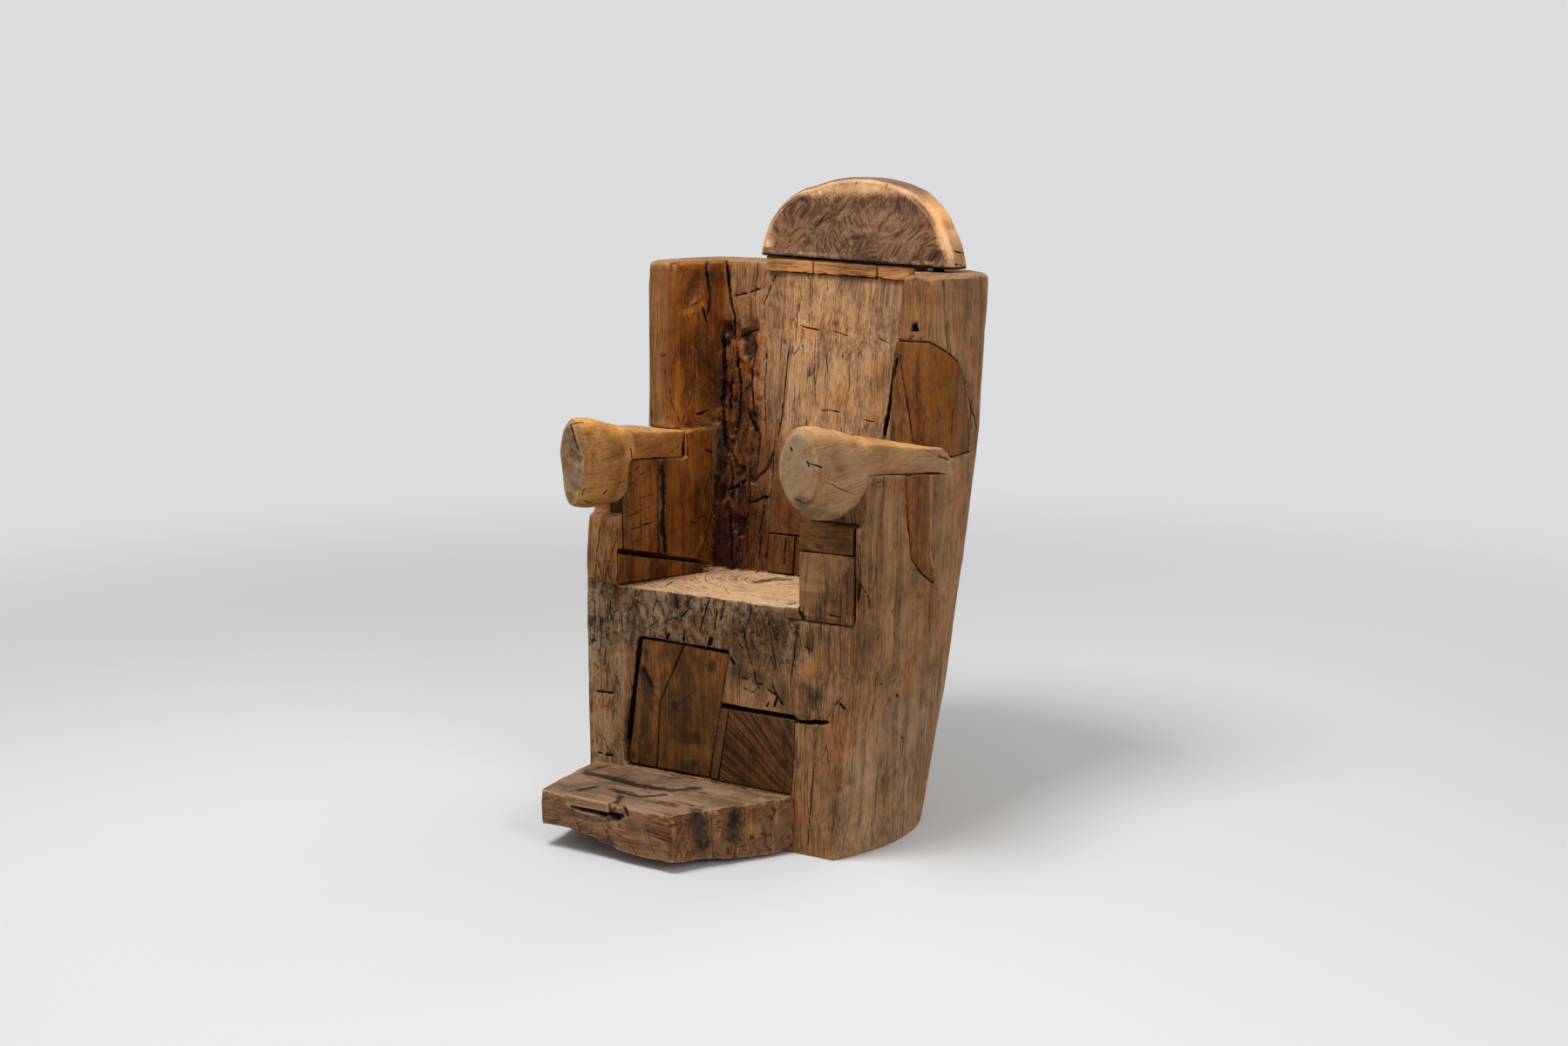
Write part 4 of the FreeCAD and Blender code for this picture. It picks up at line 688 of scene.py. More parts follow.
# Cuts and cracks of each piece, as rows of (width, depth, darkness, lines): millimetres,
# millimetres, 0 to 1, and for each line the places in the picture that it runs through.
CUTS = {
    "trunk": [
        # The left wing and the back
        (6, 14, 1.0, [[(834, 299), (836, 318), (838, 340), (843, 366), (843, 389)]]),
        (3.5, 5, 0.9, [[(843, 339), (858, 337), (873, 331)]]),
        (4, 5, 0.9, [[(843, 387), (856, 385), (868, 378)], [(810, 516), (817, 519)]]),
        (8, 9, 1.0, [[(810, 298), (812, 320), (815, 340), (812, 362)]]),
        (6, 7, 0.9, [[(806, 352), (812, 372)]]),
        (3.5, 4, 0.8, [[(790, 596), (797, 601), (806, 592)]]),
        (20, 4, 0.0, [[(801, 560), (806, 580)]]),
        (22, 3, 0.0, [[(772, 560), (776, 600)]]),
        (4, 3, 0.35, [[(797, 398), (798, 430), (792, 460), (783, 487)]]),
        (3, 2, 0.3, [[(766, 440), (772, 468), (781, 487)]]),
        (4, 3, 0.3, [[(800, 642), (812, 612), (819, 580), (821, 555)]]),
        (2.5, 3, 0.6, [[(751, 413), (764, 407)], [(743, 474), (756, 476), (768, 480)],
            [(870, 300), (866, 340), (868, 375)]]),
        (5, 6, 1.0, [[(799, 475), (806, 474), (813, 471)]]),
        (42, 12, 0.0, [[(786, 350), (797, 330), (804, 314)]]),
        (5, 4, 0.25, [[(777, 357), (793, 352), (808, 342)]]),
        (26, 4, 0.0, [[(786, 470), (790, 440)]]),
        (26, 5, 0.0, [[(801, 400), (806, 380)]]),
        (9, 10, 0.9, [[(830, 380), (832, 420), (829, 470), (834, 520)]]),
        (7, 9, 0.8, [[(846, 400), (850, 450), (846, 500)], [(858, 470), (872, 500), (868, 540)]]),
        (5, 7, 0.7, [[(868, 395), (862, 440), (866, 480)]]),
        (6, 9, 0.9, [[(840, 430), (838, 470)]]),
        (6, 9, 1.0, [[(831, 563), (843, 559), (856, 551)], [(838, 583), (839, 615), (839, 648)]]),
        (5, 7, 1.0, [[(860, 577), (872, 573), (887, 568)]]),
        (8, 5, 0.5, [[(863, 554), (878, 540), (892, 514)]]),
        (6, 10, 1.0, [[(889, 585), (886, 610), (880, 640)]]),
        (4, 6, 0.9, [[(861, 529), (860, 570), (857, 600), (857, 640)]]),
        (3, 3, 0.7, [[(905, 401), (902, 430), (899, 460), (893, 505)]]),
        (2.5, 3, 0.8, [[(896, 300), (884, 330), (876, 350)]]),
        (3, 4, 0.7, [[(880, 400), (877, 450), (879, 500)], [(893, 520), (890, 560)]]),
        (4, 7, 0.9, [[(877, 580), (872, 610), (871, 642)]]),
        (4, 6, 0.8, [[(848, 600), (849, 630)]]),
        (5, 6, 0.9, [[(835, 520), (841, 545), (838, 563)]]),
        # The wall's kerf and gap
        (6, 7, 1.0, [[(711, 634), (735, 638), (759, 641), (785, 645), (812, 647)]]),
        (12, 8, 1.0, [[(760, 526), (761, 560), (761, 600), (764, 642)]]),
        (3, 4, 0.8, [[(764, 640), (765, 655)]]),
        (3, 4, 1.0, [[(788, 494), (789, 524)]]),
        # Seat
        (2.5, 3, 0.9, [[(776, 649), (770, 668), (760, 675)],
            [(776, 649), (800, 655), (822, 664), (850, 668)], [(740, 662), (742, 676)]]),
        (2.2, 3, 0.8, [[(776, 649), (750, 660), (722, 668)]]),
        (2, 2, 0.7, [[(776, 649), (806, 650), (840, 657)], [(795, 660), (812, 678)],
            [(830, 672), (838, 683)]]),
        (2, 2, 0.8, [[(776, 649), (786, 664), (790, 679)]]),
        (5, 4, 0.9, [[(864, 669), (880, 666), (896, 666), (904, 664)]]),
        (3, 3, 0.8, [[(872, 664), (884, 668)]]),
        (2, 2, 0.6, [[(716, 668), (735, 662)]]),
        (2, 2, 0.5, [[(820, 650), (860, 652)]]),
        # Apron and front
        (3, 5, 1.0, [[(853, 720), (857, 745), (864, 768), (871, 792)],
            [(750, 672), (753, 690), (749, 702)], [(775, 680), (778, 700)],
            [(812, 712), (809, 738)], [(822, 700), (820, 724)]]),
        (8, 14, 1.0, [[(908, 827), (930, 829), (949, 829)]]),
        (2.5, 3, 0.7, [[(948, 828), (956, 812), (966, 800)], [(695, 740), (694, 765)]]),
        (4, 6, 1.0, [[(683, 793), (705, 795)], [(683, 863), (703, 867)]]),
        (2, 3, 0.8, [[(697, 855), (697, 872)], [(736, 712), (740, 722), (752, 714)],
            [(922, 742), (930, 745), (935, 750)]]),
        (2.5, 4, 0.8, [[(935, 870), (930, 925), (925, 985)]]),
        (6, 9, 1.0, [[(763, 737), (767, 727)]]),
        (7, 9, 1.0, [[(785, 740), (786, 728)]]),
        (9, 9, 1.0, [[(812, 746), (817, 732)]]),
        (7, 7, 0.9, [[(838, 755), (842, 762)]]),
        (3.5, 5, 1.0, [[(815, 683), (806, 712), (803, 724)]]),
        (3, 4, 0.9, [[(832, 684), (826, 712)], [(728, 676), (730, 694)],
            [(848, 776), (862, 782), (876, 786)], [(882, 806), (876, 816)]]),
        (2.5, 3, 0.9, [[(763, 676), (764, 690)], [(790, 682), (788, 698)],
            [(742, 700), (744, 716)], [(852, 790), (870, 796)]]),
        (3, 4, 0.8, [[(765, 712), (780, 708), (792, 698)]]),
        (2.5, 4, 0.9, [[(795, 706), (798, 722)]]),
        (2.5, 3, 0.8, [[(838, 690), (842, 716), (848, 726)], [(864, 692), (858, 716)],
            [(700, 690), (702, 712)], [(712, 700), (714, 726)]]),
        (5, 6, 1.0, [[(886, 786), (892, 800), (888, 812)]]),
        (4, 4, 0.9, [[(846, 736), (852, 744)]]),
        (2, 2.5, 0.8, [[(877, 700), (890, 730)]]),
        (3, 3, 0.8, [[(915, 712), (912, 745), (906, 790)], [(682, 690), (683, 715)]]),
        (4, 4, 0.8, [[(880, 790), (893, 800), (900, 812)]]),
        (3, 2, 0.4, [[(688, 700), (690, 730), (686, 760)]]),
        # The outer face of the left post
        (3, 2.5, 0.5, [[(712, 600), (700, 640), (690, 680)], [(690, 600), (684, 640), (680, 690)]]),
        # Right side and right wing
        (11, 14, 1.0, [[(1050, 371), (1050, 381)]]),
        (2, 3, 0.8, [[(1050, 384), (1044, 390), (1036, 396)]]),
        (4, 6, 1.0, [[(1029, 400), (1040, 396), (1052, 394), (1066, 397)]]),
        (3, 5, 0.8, [[(1066, 397), (1080, 409), (1095, 427), (1106, 447)]]),
        (4, 8, 1.0, [
            [(1100, 430), (1107, 447), (1112, 462), (1118, 480), (1122, 500), (1123, 519)]]),
        (2.5, 4, 0.9, [[(986, 624), (988, 640), (987, 668), (997, 687), (998, 700)]]),
        (3, 3, 0.8, [[(1007, 736), (1008, 720)]]),
        (4, 3, 0.9, [[(1023, 702), (1026, 698)], [(1010, 782), (1012, 786)],
            [(1028, 797), (1030, 800)], [(1034, 843), (1035, 848)]]),
        (2, 1.5, 0.4, [[(1036, 735), (1047, 700), (1060, 665)]]),
        (2, 1.5, 0.5, [[(1088, 600), (1089, 640), (1086, 680)]]),
        (3, 2, 0.4, [[(1032, 690), (1046, 650), (1056, 660)]]),
        (2, 3, 0.7, [[(990, 560), (1012, 552)]]),
        (5, 4, 0.9, [[(964, 808), (968, 812)]]),
        (6, 6, 0.9, [[(985, 690), (988, 668)]]),
    ],
    "door_board_left": [
        (9, 6, 1.0, [[(737, 765), (741, 776), (749, 789)]]),
        (4, 2, 0.5, [[(748, 789), (752, 800)]]),
    ],
    "door_board_right": [
        (1.5, 1, 0.5, [[(775, 812), (800, 790)]]),
        (1.5, 1, 0.4, [[(800, 824), (828, 838)]]),
    ],
    "right_post_block": [
        (3.5, 6, 1.0, [[(917, 686), (917, 700), (916, 711)]]),
        (7, 5, 1.0, [[(919, 703), (922, 710)]]),
        (6, 5, 1.0, [[(984, 700), (984, 706)]]),
        (3, 3, 0.8, [[(950, 706), (966, 708)]]),
        (2.2, 3, 0.9, [[(986, 640), (985, 664), (987, 684), (984, 704)]]),
        (2, 1.5, 0.4, [[(975, 655), (976, 690)]]),
    ],
    "right_post_cap": [
        (2, 2, 0.6, [[(932, 628), (950, 630)]]),
    ],
    "left_wall_board": [
        (2, 2, 0.8, [[(727, 588), (738, 584), (750, 580)], [(730, 600), (748, 594)],
            [(722, 566), (732, 553)], [(735, 545), (742, 541)]]),
        (1.5, 1.5, 0.6, [[(741, 600), (739, 622)]]),
        (2.5, 3, 0.9, [[(724, 608), (742, 601), (751, 598)]]),
        (2.5, 3, 0.8, [[(721, 592), (735, 588)]]),
        (2.5, 3, 0.7, [[(722, 545), (736, 534)]]),
        (2, 2, 0.7, [[(720, 558), (730, 552)], [(726, 622), (738, 618)]]),
        (2, 2, 0.6, [[(733, 572), (752, 566)]]),
        (12, 8, 1.0, [[(760, 526), (761, 560), (761, 600), (764, 642)]]),
    ],
    "left_wall_strip": [
        (12, 8, 1.0, [[(760, 526), (761, 560), (761, 600), (764, 642)]]),
    ],
    "right_wing_inlay": [
        (1.5, 1, 0.3, [[(1068, 430), (1070, 470), (1068, 500)]]),
    ],
    "right_wing_wedge": [
        (7, 9, 1.0, [[(1029, 410), (1024, 440), (1020, 470), (1015, 505)]]),
    ],
    "back_board": [
        (3, 3, 0.9, [[(919, 374), (928, 376), (940, 379)]]),
        (2.5, 3, 0.8, [[(953, 380), (962, 382), (973, 385)]]),
        (3, 3, 0.8, [[(942, 471), (952, 471), (963, 473)], [(992, 482), (1004, 484)]]),
        (2, 2, 0.7, [[(1008, 388), (1022, 395)], [(948, 400), (949, 430)],
            [(930, 330), (928, 372)]]),
        (3.5, 4, 0.8, [[(905, 401), (902, 430), (899, 460), (893, 505)]]),
        (8, 10, 1.0, [[(1029, 404), (1024, 440), (1020, 470), (1014, 505)]]),
        (2, 2, 0.6, [[(975, 410), (974, 450)], [(912, 440), (911, 480)]]),
        (1.5, 1.5, 0.5, [[(990, 330), (1000, 345)], [(968, 345), (960, 360)]]),
        (2, 2.5, 0.7, [[(918, 320), (915, 350), (913, 396)],
            [(935, 385), (934, 430), (936, 468)], [(925, 480), (922, 520)]]),
        (1.5, 2, 0.6, [[(960, 330), (957, 376)], [(985, 400), (982, 450)],
            [(1000, 350), (998, 400)]]),
    ],
    "back_patch_left": [
        (4, 5, 0.9, [[(901, 618), (900, 648)], [(912, 618), (911, 652)]]),
    ],
    "back_patch_right": [
        (4, 5, 0.9, [[(901, 618), (900, 648)], [(912, 618), (911, 652)]]),
    ],
    "headrest": [
        (2.5, 4, 0.9, [[(1093, 262), (1104, 263), (1112, 266)]]),
        (3, 4, 0.9, [[(1094, 288), (1112, 292)], [(1096, 303), (1110, 306)]]),
        (1.5, 2, 0.6, [[(985, 203), (980, 216)], [(1020, 206), (1014, 222)],
            [(925, 217), (932, 236)]]),
        (1.5, 2, 0.5, [[(1048, 210), (1042, 226)]]),
        (2, 3, 0.8, [[(1100, 272), (1111, 280)]]),
        (1.5, 1.5, 0.5, [[(1060, 222), (1070, 216)]]),
    ],
    "left_arm": [
        (3.5, 6, 1.0, [[(655, 487), (657, 496), (664, 518)]]),
        (2, 2, 0.7, [[(654, 487), (670, 484)]]),
        (2, 3, 0.8, [[(672, 560), (669, 568), (668, 575), (660, 579)]]),
        (2, 3, 0.7, [[(668, 574), (684, 580)]]),
        (22, 3, 0.0, [[(648, 545), (652, 556), (672, 568)]]),
        (26, 3, 0.0, [[(652, 520), (668, 530)]]),
        (4, 4, 0.9, [[(693, 566), (697, 562)]]),
        (18, 2.5, 0.0, [[(676, 500), (684, 520), (682, 540)]]),
        (2, 2, 0.8, [[(710, 556), (713, 553)], [(767, 521), (780, 512)]]),
        (2.5, 3, 0.9, [[(724, 515), (725, 524)]]),
    ],
    "right_arm": [
        (2.5, 3, 0.9, [[(927, 531), (936, 534), (945, 537)]]),
        (2, 2, 0.6, [[(947, 552), (962, 560), (980, 568)]]),
        (4, 3, 0.9, [[(926, 530), (928, 534)]]),
        (3, 2, 0.8, [[(907, 514), (908, 517)]]),
        (2, 1.5, 0.5, [[(1058, 515), (1074, 521)]]),
        (3, 2, 0.7, [[(912, 572), (925, 578)]]),
        (8, 4, 0.3, [[(1076, 523), (1090, 528)]]),
        (1.5, 1.5, 0.5, [[(1012, 545), (1020, 535)]]),
    ],
    "step": [
        (8, 9, 1.0, [[(668, 925), (690, 932), (715, 936)]]),
        (12, 10, 1.0, [[(700, 934), (712, 938)]]),
        (4, 5, 0.9, [[(716, 924), (722, 938)]]),
        (30, 4, 0.0, [[(760, 938), (785, 936)]]),
        (2, 2, 0.8, [[(700, 893), (735, 902), (760, 905)], [(736, 905), (752, 914)],
            [(765, 903), (776, 912)]]),
        (1.5, 2, 0.8, [[(690, 900), (712, 896)]]),
        (3, 4, 0.9, [[(660, 906), (664, 920)]]),
        (32, 5, 0.15, [[(800, 925), (797, 970)]]),
        (30, 5, 0.15, [[(836, 925), (838, 965)]]),
        (26, 3, 0.0, [[(868, 925), (872, 965)]]),
        (2, 2, 0.5, [[(655, 925), (668, 960)], [(740, 945), (752, 985)],
            [(690, 945), (705, 975)], [(770, 900), (800, 908)], [(660, 935), (690, 950)],
            [(715, 960), (735, 985)], [(855, 925), (853, 975)], [(884, 930), (886, 975)]]),
        (3, 2, 0.8, [[(712, 898), (745, 906)]]),
        (1.5, 2, 0.5, [[(726, 893), (742, 888)], [(790, 890), (812, 884)],
            [(770, 925), (790, 912)]]),
        (2, 2, 0.6, [[(816, 930), (818, 985)]]),
    ],
    "step_patch": [
        (3, 3, 0.8, [[(655, 930), (675, 936), (698, 943)]]),
    ],
}

# Stains and pale places of each piece, and on the log a few painted highlights and painted
# shade: the places that one runs through, its radius in millimetres, and what the wood's colour
# is multiplied by in its middle.
SPOTS = {
    "trunk": [
        ([(868, 668), (885, 665), (905, 664)], 16, (0.35, 0.27, 0.2)),
        ([(845, 770), (880, 782)], 26, (0.5, 0.5, 0.52)),
        ([(925, 735), (930, 745)], 12, (0.35, 0.3, 0.27)),
        ([(925, 790), (935, 800)], 20, (0.5, 0.48, 0.46)),
        ([(845, 700), (860, 712)], 16, (0.5, 0.5, 0.52)),
        ([(895, 780), (900, 815)], 14, (0.5, 0.48, 0.46)),
        ([(690, 700), (692, 760)], 12, (0.55, 0.55, 0.57)),
        ([(724, 800), (716, 850)], 10, (0.55, 0.5, 0.45)),
        ([(738, 725), (770, 722), (800, 728)], 12, (1.2, 0.95, 0.66)),
        ([(726, 740), (722, 790)], 12, (0.8, 0.62, 0.45)),
        ([(771, 320), (771, 380), (773, 420)], 9, (0.9, 1.06, 0.95)),
        ([(781, 418), (781, 450), (781, 476)], 16, (1.7, 1.95, 2.3)),
        # A painted highlight along the rim of a scoop in the left wing
        ([(779, 362), (795, 358), (809, 348)], 6, (2.0, 2.1, 2.3)),
        # Painted shadow in the hollow of that scoop
        ([(786, 345), (795, 328), (801, 312)], 14, (0.6, 0.55, 0.5)),
        ([(806, 622), (800, 632)], 8, (1.9, 2.0, 2.2)),
        ([(790, 500), (796, 560)], 14, (1.5, 1.4, 1.2)),
        ([(800, 420), (806, 450)], 14, (0.75, 0.68, 0.6)),
        # Painted shade on the level ledge behind the left arm, which the lamps light from above
        ([(788, 489), (804, 489), (818, 490)], 14, (0.4, 0.35, 0.28)),
        ([(795, 640), (806, 612)], 9, (1.5, 1.5, 1.5)),
        ([(755, 320), (752, 380), (756, 440)], 10, (1.35, 1.3, 1.25)),
        ([(910, 690), (908, 712)], 9, (0.4, 0.36, 0.34)),
        ([(1038, 560), (1040, 640)], 6, (0.8, 0.7, 0.6))],
    "door_board_left": [
        ([(817, 765)], 15, (0.3, 0.27, 0.24)), ([(775, 810)], 13, (0.35, 0.3, 0.27)),
        ([(738, 770), (745, 790)], 17, (0.4, 0.32, 0.26)), ([(723, 866)], 18, (0.25, 0.22, 0.2)),
        ([(797, 875)], 12, (0.35, 0.32, 0.3)),
        ([(754, 795), (752, 830), (754, 862)], 12, (1.45, 1.35, 1.15)),
        ([(765, 760), (775, 790)], 12, (1.4, 1.3, 1.2)), ([(740, 748)], 12, (0.45, 0.38, 0.33)),
        ([(790, 760), (810, 790)], 16, (1.3, 1.3, 1.3)),
        ([(780, 850), (800, 845)], 14, (0.6, 0.57, 0.54))],
    "right_post_block": [
        ([(945, 650), (960, 690)], 16, (0.8, 0.75, 0.7))],
    "right_arm": [
        ([(915, 572), (925, 578)], 13, (0.4, 0.36, 0.33)),
        ([(930, 585), (960, 592)], 9, (0.8, 0.7, 0.6))],
    "step": [
        ([(674, 887), (700, 893), (735, 901), (770, 907), (800, 904)], 15, (0.09, 0.07, 0.08)),
        ([(655, 916), (664, 907), (682, 903)], 10, (0.12, 0.1, 0.1)),
        ([(700, 905), (726, 909)], 7, (0.3, 0.26, 0.26)),
        ([(708, 908), (735, 914), (762, 912)], 9, (0.14, 0.11, 0.12)),
        ([(706, 924), (712, 914)], 10, (0.12, 0.1, 0.1)),
        ([(770, 893), (800, 890)], 8, (0.5, 0.45, 0.42)),
        ([(740, 918), (775, 925)], 8, (0.4, 0.35, 0.33)),
        ([(801, 942), (806, 968)], 27, (0.14, 0.13, 0.14)),
        ([(843, 938), (840, 960)], 20, (0.16, 0.15, 0.15)),
        ([(822, 926), (820, 960)], 7, (1.3, 1.28, 1.2)),
        ([(858, 925), (855, 968)], 8, (1.25, 1.22, 1.1)),
        ([(874, 915), (872, 950)], 8, (1.25, 1.22, 1.1)),
        ([(700, 928), (708, 936)], 9, (0.3, 0.25, 0.22)),
        ([(672, 884), (700, 878)], 8, (0.45, 0.4, 0.4)),
        ([(640, 950), (680, 975), (720, 985)], 14, (0.7, 0.62, 0.55)),
        ([(690, 945), (740, 955)], 10, (1.25, 1.22, 1.15)),
        ([(850, 893), (880, 903)], 9, (1.3, 1.25, 1.2))],
}
SPOTS["door_board_right"] = SPOTS["door_board_left"]


# From a carving to a piece of the chair

def shown(wood, slot, grain="Z", pith=LOG_PITH, darkened=None, tint=None, bloom=None, rub=1.0,
          looks_like=None, frail=None):
    """Makes the finished piece: its mesh, values, finish, body, slot and the node it stands for.
    darkened, tint, bloom and frail each give a value for every point from points and normals.
    Sharp hollows get painted shade, from the curvature, and sharp edges are rubbed where no seam
    or painted shade is near."""
    low, high = np.array(SOLID_BOX[0]) + INSET, np.array(SOLID_BOX[1]) - INSET
    wood.points = np.clip(wood.points, low, high)
    count = len(wood.points)
    normals = wood.normals()

    def given(rule):
        return np.zeros(count) if rule is None else rule(wood.points, normals)

    bend = wood.curvature()
    seam = np.maximum(wood.values.get("seam", np.zeros(count)), given(darkened))
    # Painted shade in sharp hollows, darker the more sharply the surface turns inwards
    seam = np.maximum(seam, 0.75 * ease(-bend, 60.0, 260.0))
    beside = seam
    for _ in range(6):
        beside = np.maximum(beside, wood.mean(beside))
    clear = 1.0 - np.clip(beside * 4.0, 0.0, 1.0)
    mesh = filled(wood.node, wood.points, wood.triangles)
    hold(mesh, "seam", seam)
    hold(mesh, "worn", np.clip(rub * ease(bend, 18.0, 110.0), 0.0, 1.3) * clear)
    hold(mesh, "bloom", given(bloom))
    hold(mesh, "ends", ease(np.abs(normals @ np.asarray(GRAIN_AXIS[grain], float)), 0.5, 0.85))
    hold(mesh, "frail", given(frail))
    paint = spotted(wood)
    if tint is not None:
        paint = paint * tint(wood.points, normals)
    layer = mesh.attributes.new("tint", "FLOAT_COLOR", "POINT")
    layer.data.foreach_set("color", np.concatenate([paint, np.ones((count, 1))], 1)
                           .astype(np.float32).ravel())
    mesh.materials.append(finish_for(looks_like or slot, grain, pith))
    piece = bpy.data.objects.new(f"carved_{wood.node}", mesh)
    bpy.context.scene.collection.objects.link(piece)
    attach(piece, "root")
    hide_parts(wood.node)
    return piece


def weathered(points):
    """The slow unevenness that all the wood shares, in millimetres, mostly inwards."""
    return (1.3 * swell(points, 0.15, 21) + 0.8 * swell(points, 0.055, 22)
            + 0.35 * swell(points, 0.022, 23) - 0.6)


def shades(points, *layers):
    """A tint for each point. Each layer is (share, shades of red, green and blue as seen)."""
    paint = np.ones((len(points), 3))
    for share, shade in layers:
        paint = paint * (1.0 + (np.asarray(shade) ** 2.2 - 1.0) * np.asarray(share)[:, None])
    return paint


def plain_tint(*shade):
    """One tint for a whole piece, by its shades of red, green and blue, or one for all three."""
    return lambda points, normals: shades(points, (np.ones(len(points)), shade))


def node_box(name, margin=0.0):
    """A node's lowest and highest corners, in millimetres, let out by a margin."""
    low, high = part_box(name)
    return [part * 1000 - margin for part in low], [part * 1000 + margin for part in high]


# For each fitted piece: the way that it shows, how dark its joint is, and a side on which the joint
# is hardly seen.
FITTED = {
    "door_board_left": (FRONT, 0.95, (1, 0, -0.3)),
    "door_board_right": (FRONT, 0.95, (-1, 0, 0.3)),
    "corner_block_strip": (FRONT, 0.95, SIDE),
    "corner_block": (FRONT, 0.9, (1, 0, 0.2)),
    "right_post_block": (FRONT, 0.7, SIDE),
    "right_post_cap": ((0, -1, 0.6), 0.8, None),
    "left_wall_board": (SIDE, 0.6, None),
    "left_wall_strip": (SIDE, 1.0, None),
    "left_wall_wedge": (SIDE, 0.25, None),
    "right_side_inlay": (SIDE, 0.45, (0, 1, 0)),
    "right_wing_wedge": (FRONT, 0.8, SIDE),
    "right_wing_inlay": (SIDE, 0.7, (-1, 0, -0.6)),
    "right_wing_sliver": (SIDE, 0.3, None),
    "back_board": ((0, -1, 0.15), 0.08, None),
    "back_patch_left": ((0, -1, 0.15), 0.5, None),
    "back_patch_right": ((0, -1, 0.15), 0.5, None),
}


def joint_dark(name, normals, way=None):
    """How dark the sides of a fitted piece are, for normals that point out of it."""
    shows, dark, soft = FITTED[name]
    share = dark * (1.0 - facing(normals, way or shows, 0.2, 0.7))
    return share if soft is None else share * (1.0 - 0.85 * facing(normals, soft, 0.3, 0.7))


def pocket_walls(points, normals):
    """Dark where the log's surface is the wall of a pocket: in a fitted piece's box but not looking
    the way that the piece shows."""
    dark = np.zeros(len(points))
    for name, (shows, share, soft) in FITTED.items():
        low, high = node_box(name, 1.5)
        inside = within(points, low, high, 1.0) * (1.0 - facing(normals, shows, 0.1, 0.6)) * share
        if soft is not None:
            inside *= 1.0 - 0.85 * facing(-normals, soft, 0.3, 0.7)
        dark = np.maximum(dark, inside)
    return dark


# The log

# Where the log is worn round more: a box's lowest and highest corners and the soft margin round
# it, in millimetres, and how many rounds of wear it gets.
LOG_WEAR = {
    "left wing's edge": ((-400, -10, 745), (-228, 22, 1200), 12, 14),
    "right wing's edge": ((255, 30, 720), (400, 70, 1200), 14, 14),
    "left wall": ((-400, -260, 470), (-215, 0, 640), 8, 8),
    "right wall": ((330, -260, 600), (400, 60, 640), 8, 8),
    "ledge behind the left arm": ((-262, 22, 725), (-185, 130, 790), 14, 16),
    "left wing's ridge": ((-250, -20, 770), (-205, 60, 1030), 10, 16),
    "seat's front edge": ((-280, -260, 440), (205, -225, 480), 10, 12),
    "front's left edge": ((-400, -260, 0), (-262, -200, 620), 12, 14),
    "front's right edge": ((322, -260, 0), (400, -195, 620), 12, 14),
}
# The log's changes of colour: a box and its margin as above, the way that the wood looks there,
# and the shades of red, green and blue.
LOG_TINTS = {
    "seat": ((-275, -250, 430), (215, 90, 480), 6, "up", (1.46, 1.6, 1.84)),
    "apron": ((-290, -262, 362), (204, -215, 458), 12, "front", (0.76, 0.73, 0.7)),
    "lower right front": ((50, -262, 0), (345, -215, 440), 12, "front", (0.97, 0.95, 0.93)),
    "left front": ((-300, -260, 120), (-205, -215, 470), 14, "front", (1.03, 1.06, 1.08)),
    "left wing, inside": ((-250, -5, 757), (-180, 175, 1100), 8, "inwards", (1.05, 0.85, 0.44)),
    "left wall, inside": ((-250, -240, 445), (-180, 95, 760), 8, "inwards", (0.98, 0.84, 0.52)),
    "left wing's edge": ((-330, -20, 757), (-232, 20, 1060), 8, "front", (0.83, 0.75, 0.6)),
    "left wall's end": ((-290, -262, 470), (-205, -200, 640), 8, "front", (1.12, 1.08, 0.94)),
    "right wing's edge": ((225, 20, 720), (320, 60, 1070), 10, "front", (0.92, 0.86, 0.78)),
    "right side": ((300, -250, 0), (400, 400, 1100), 5, "side", (1.03, 1.01, 0.97)),
    "foot of the right side": ((200, -250, -10), (400, 400, 240), 90, "side", (1.07, 1.14, 1.3)),
}
# The drying cracks: each one's angle round the log in radians, and the heights in metres where it
# starts and ends
DRYING_CRACKS = ((1.25, 0.55, 1.09), (1.85, -0.05, 0.7), (2.6, 0.3, 1.0), (3.05, -0.1, 0.45))
# The lowest and highest corners of the strip of the back that is rotten, in millimetres
ROTTEN_STRIP = (-207, 60, 470), (-140, 220, 930)


def log_wear(p):
    """How many rounds of wear each place of the log gets: most at the heads of its wings."""
    heads = ease(p[:, 2], 1.02, 1.045)
    tips = heads * (ease(-p[:, 0], 0.185, 0.215) + ease(p[:, 0], 0.235, 0.262)
                    + ease(p[:, 1], 0.25, 0.29))
    total = 1 + 24 * np.minimum(tips, 1) + 5 * heads * (p[:, 1] < 0.15)
    for low, high, soft, rounds in LOG_WEAR.values():
        total += rounds * within(p, low, high, soft)
    return total


def rotten_pits(p, n):
    """0 to 1: ragged pits in the strip of the back that is rotten, from layered noise."""
    strip = within(p, *ROTTEN_STRIP, 45) * facing(n, FRONT, 0.0, 0.4)
    ragged = rough(p, 0.03, 51, 5, (1, 1, 1.8)) + 0.35 * rough(p, 0.012, 58, 2, (1, 1, 1.5))
    return strip * ease(ragged, -0.15, 0.25)


def fissures(p, n):
    """0 to 1: short upright cracks in the apron and the front's left corner, where drawn-out noise
    crosses zero, in patches."""
    zone = (within(p, (-290, -262, 350), (205, -215, 462), 14)
            + within(p, (-300, -262, 120), (-215, -215, 470), 12)) * facing(n, FRONT, 0.2, 0.6)
    line = np.abs(rough(p, 0.03, 45, 3, (1, 1, 4.5)))
    patch = ease(rough(p, 0.05, 49, 2, (1, 1, 1.5)), -0.1, 0.3)
    return np.minimum(zone, 1) * (1 - ease(line, 0.0, 0.055)) * patch


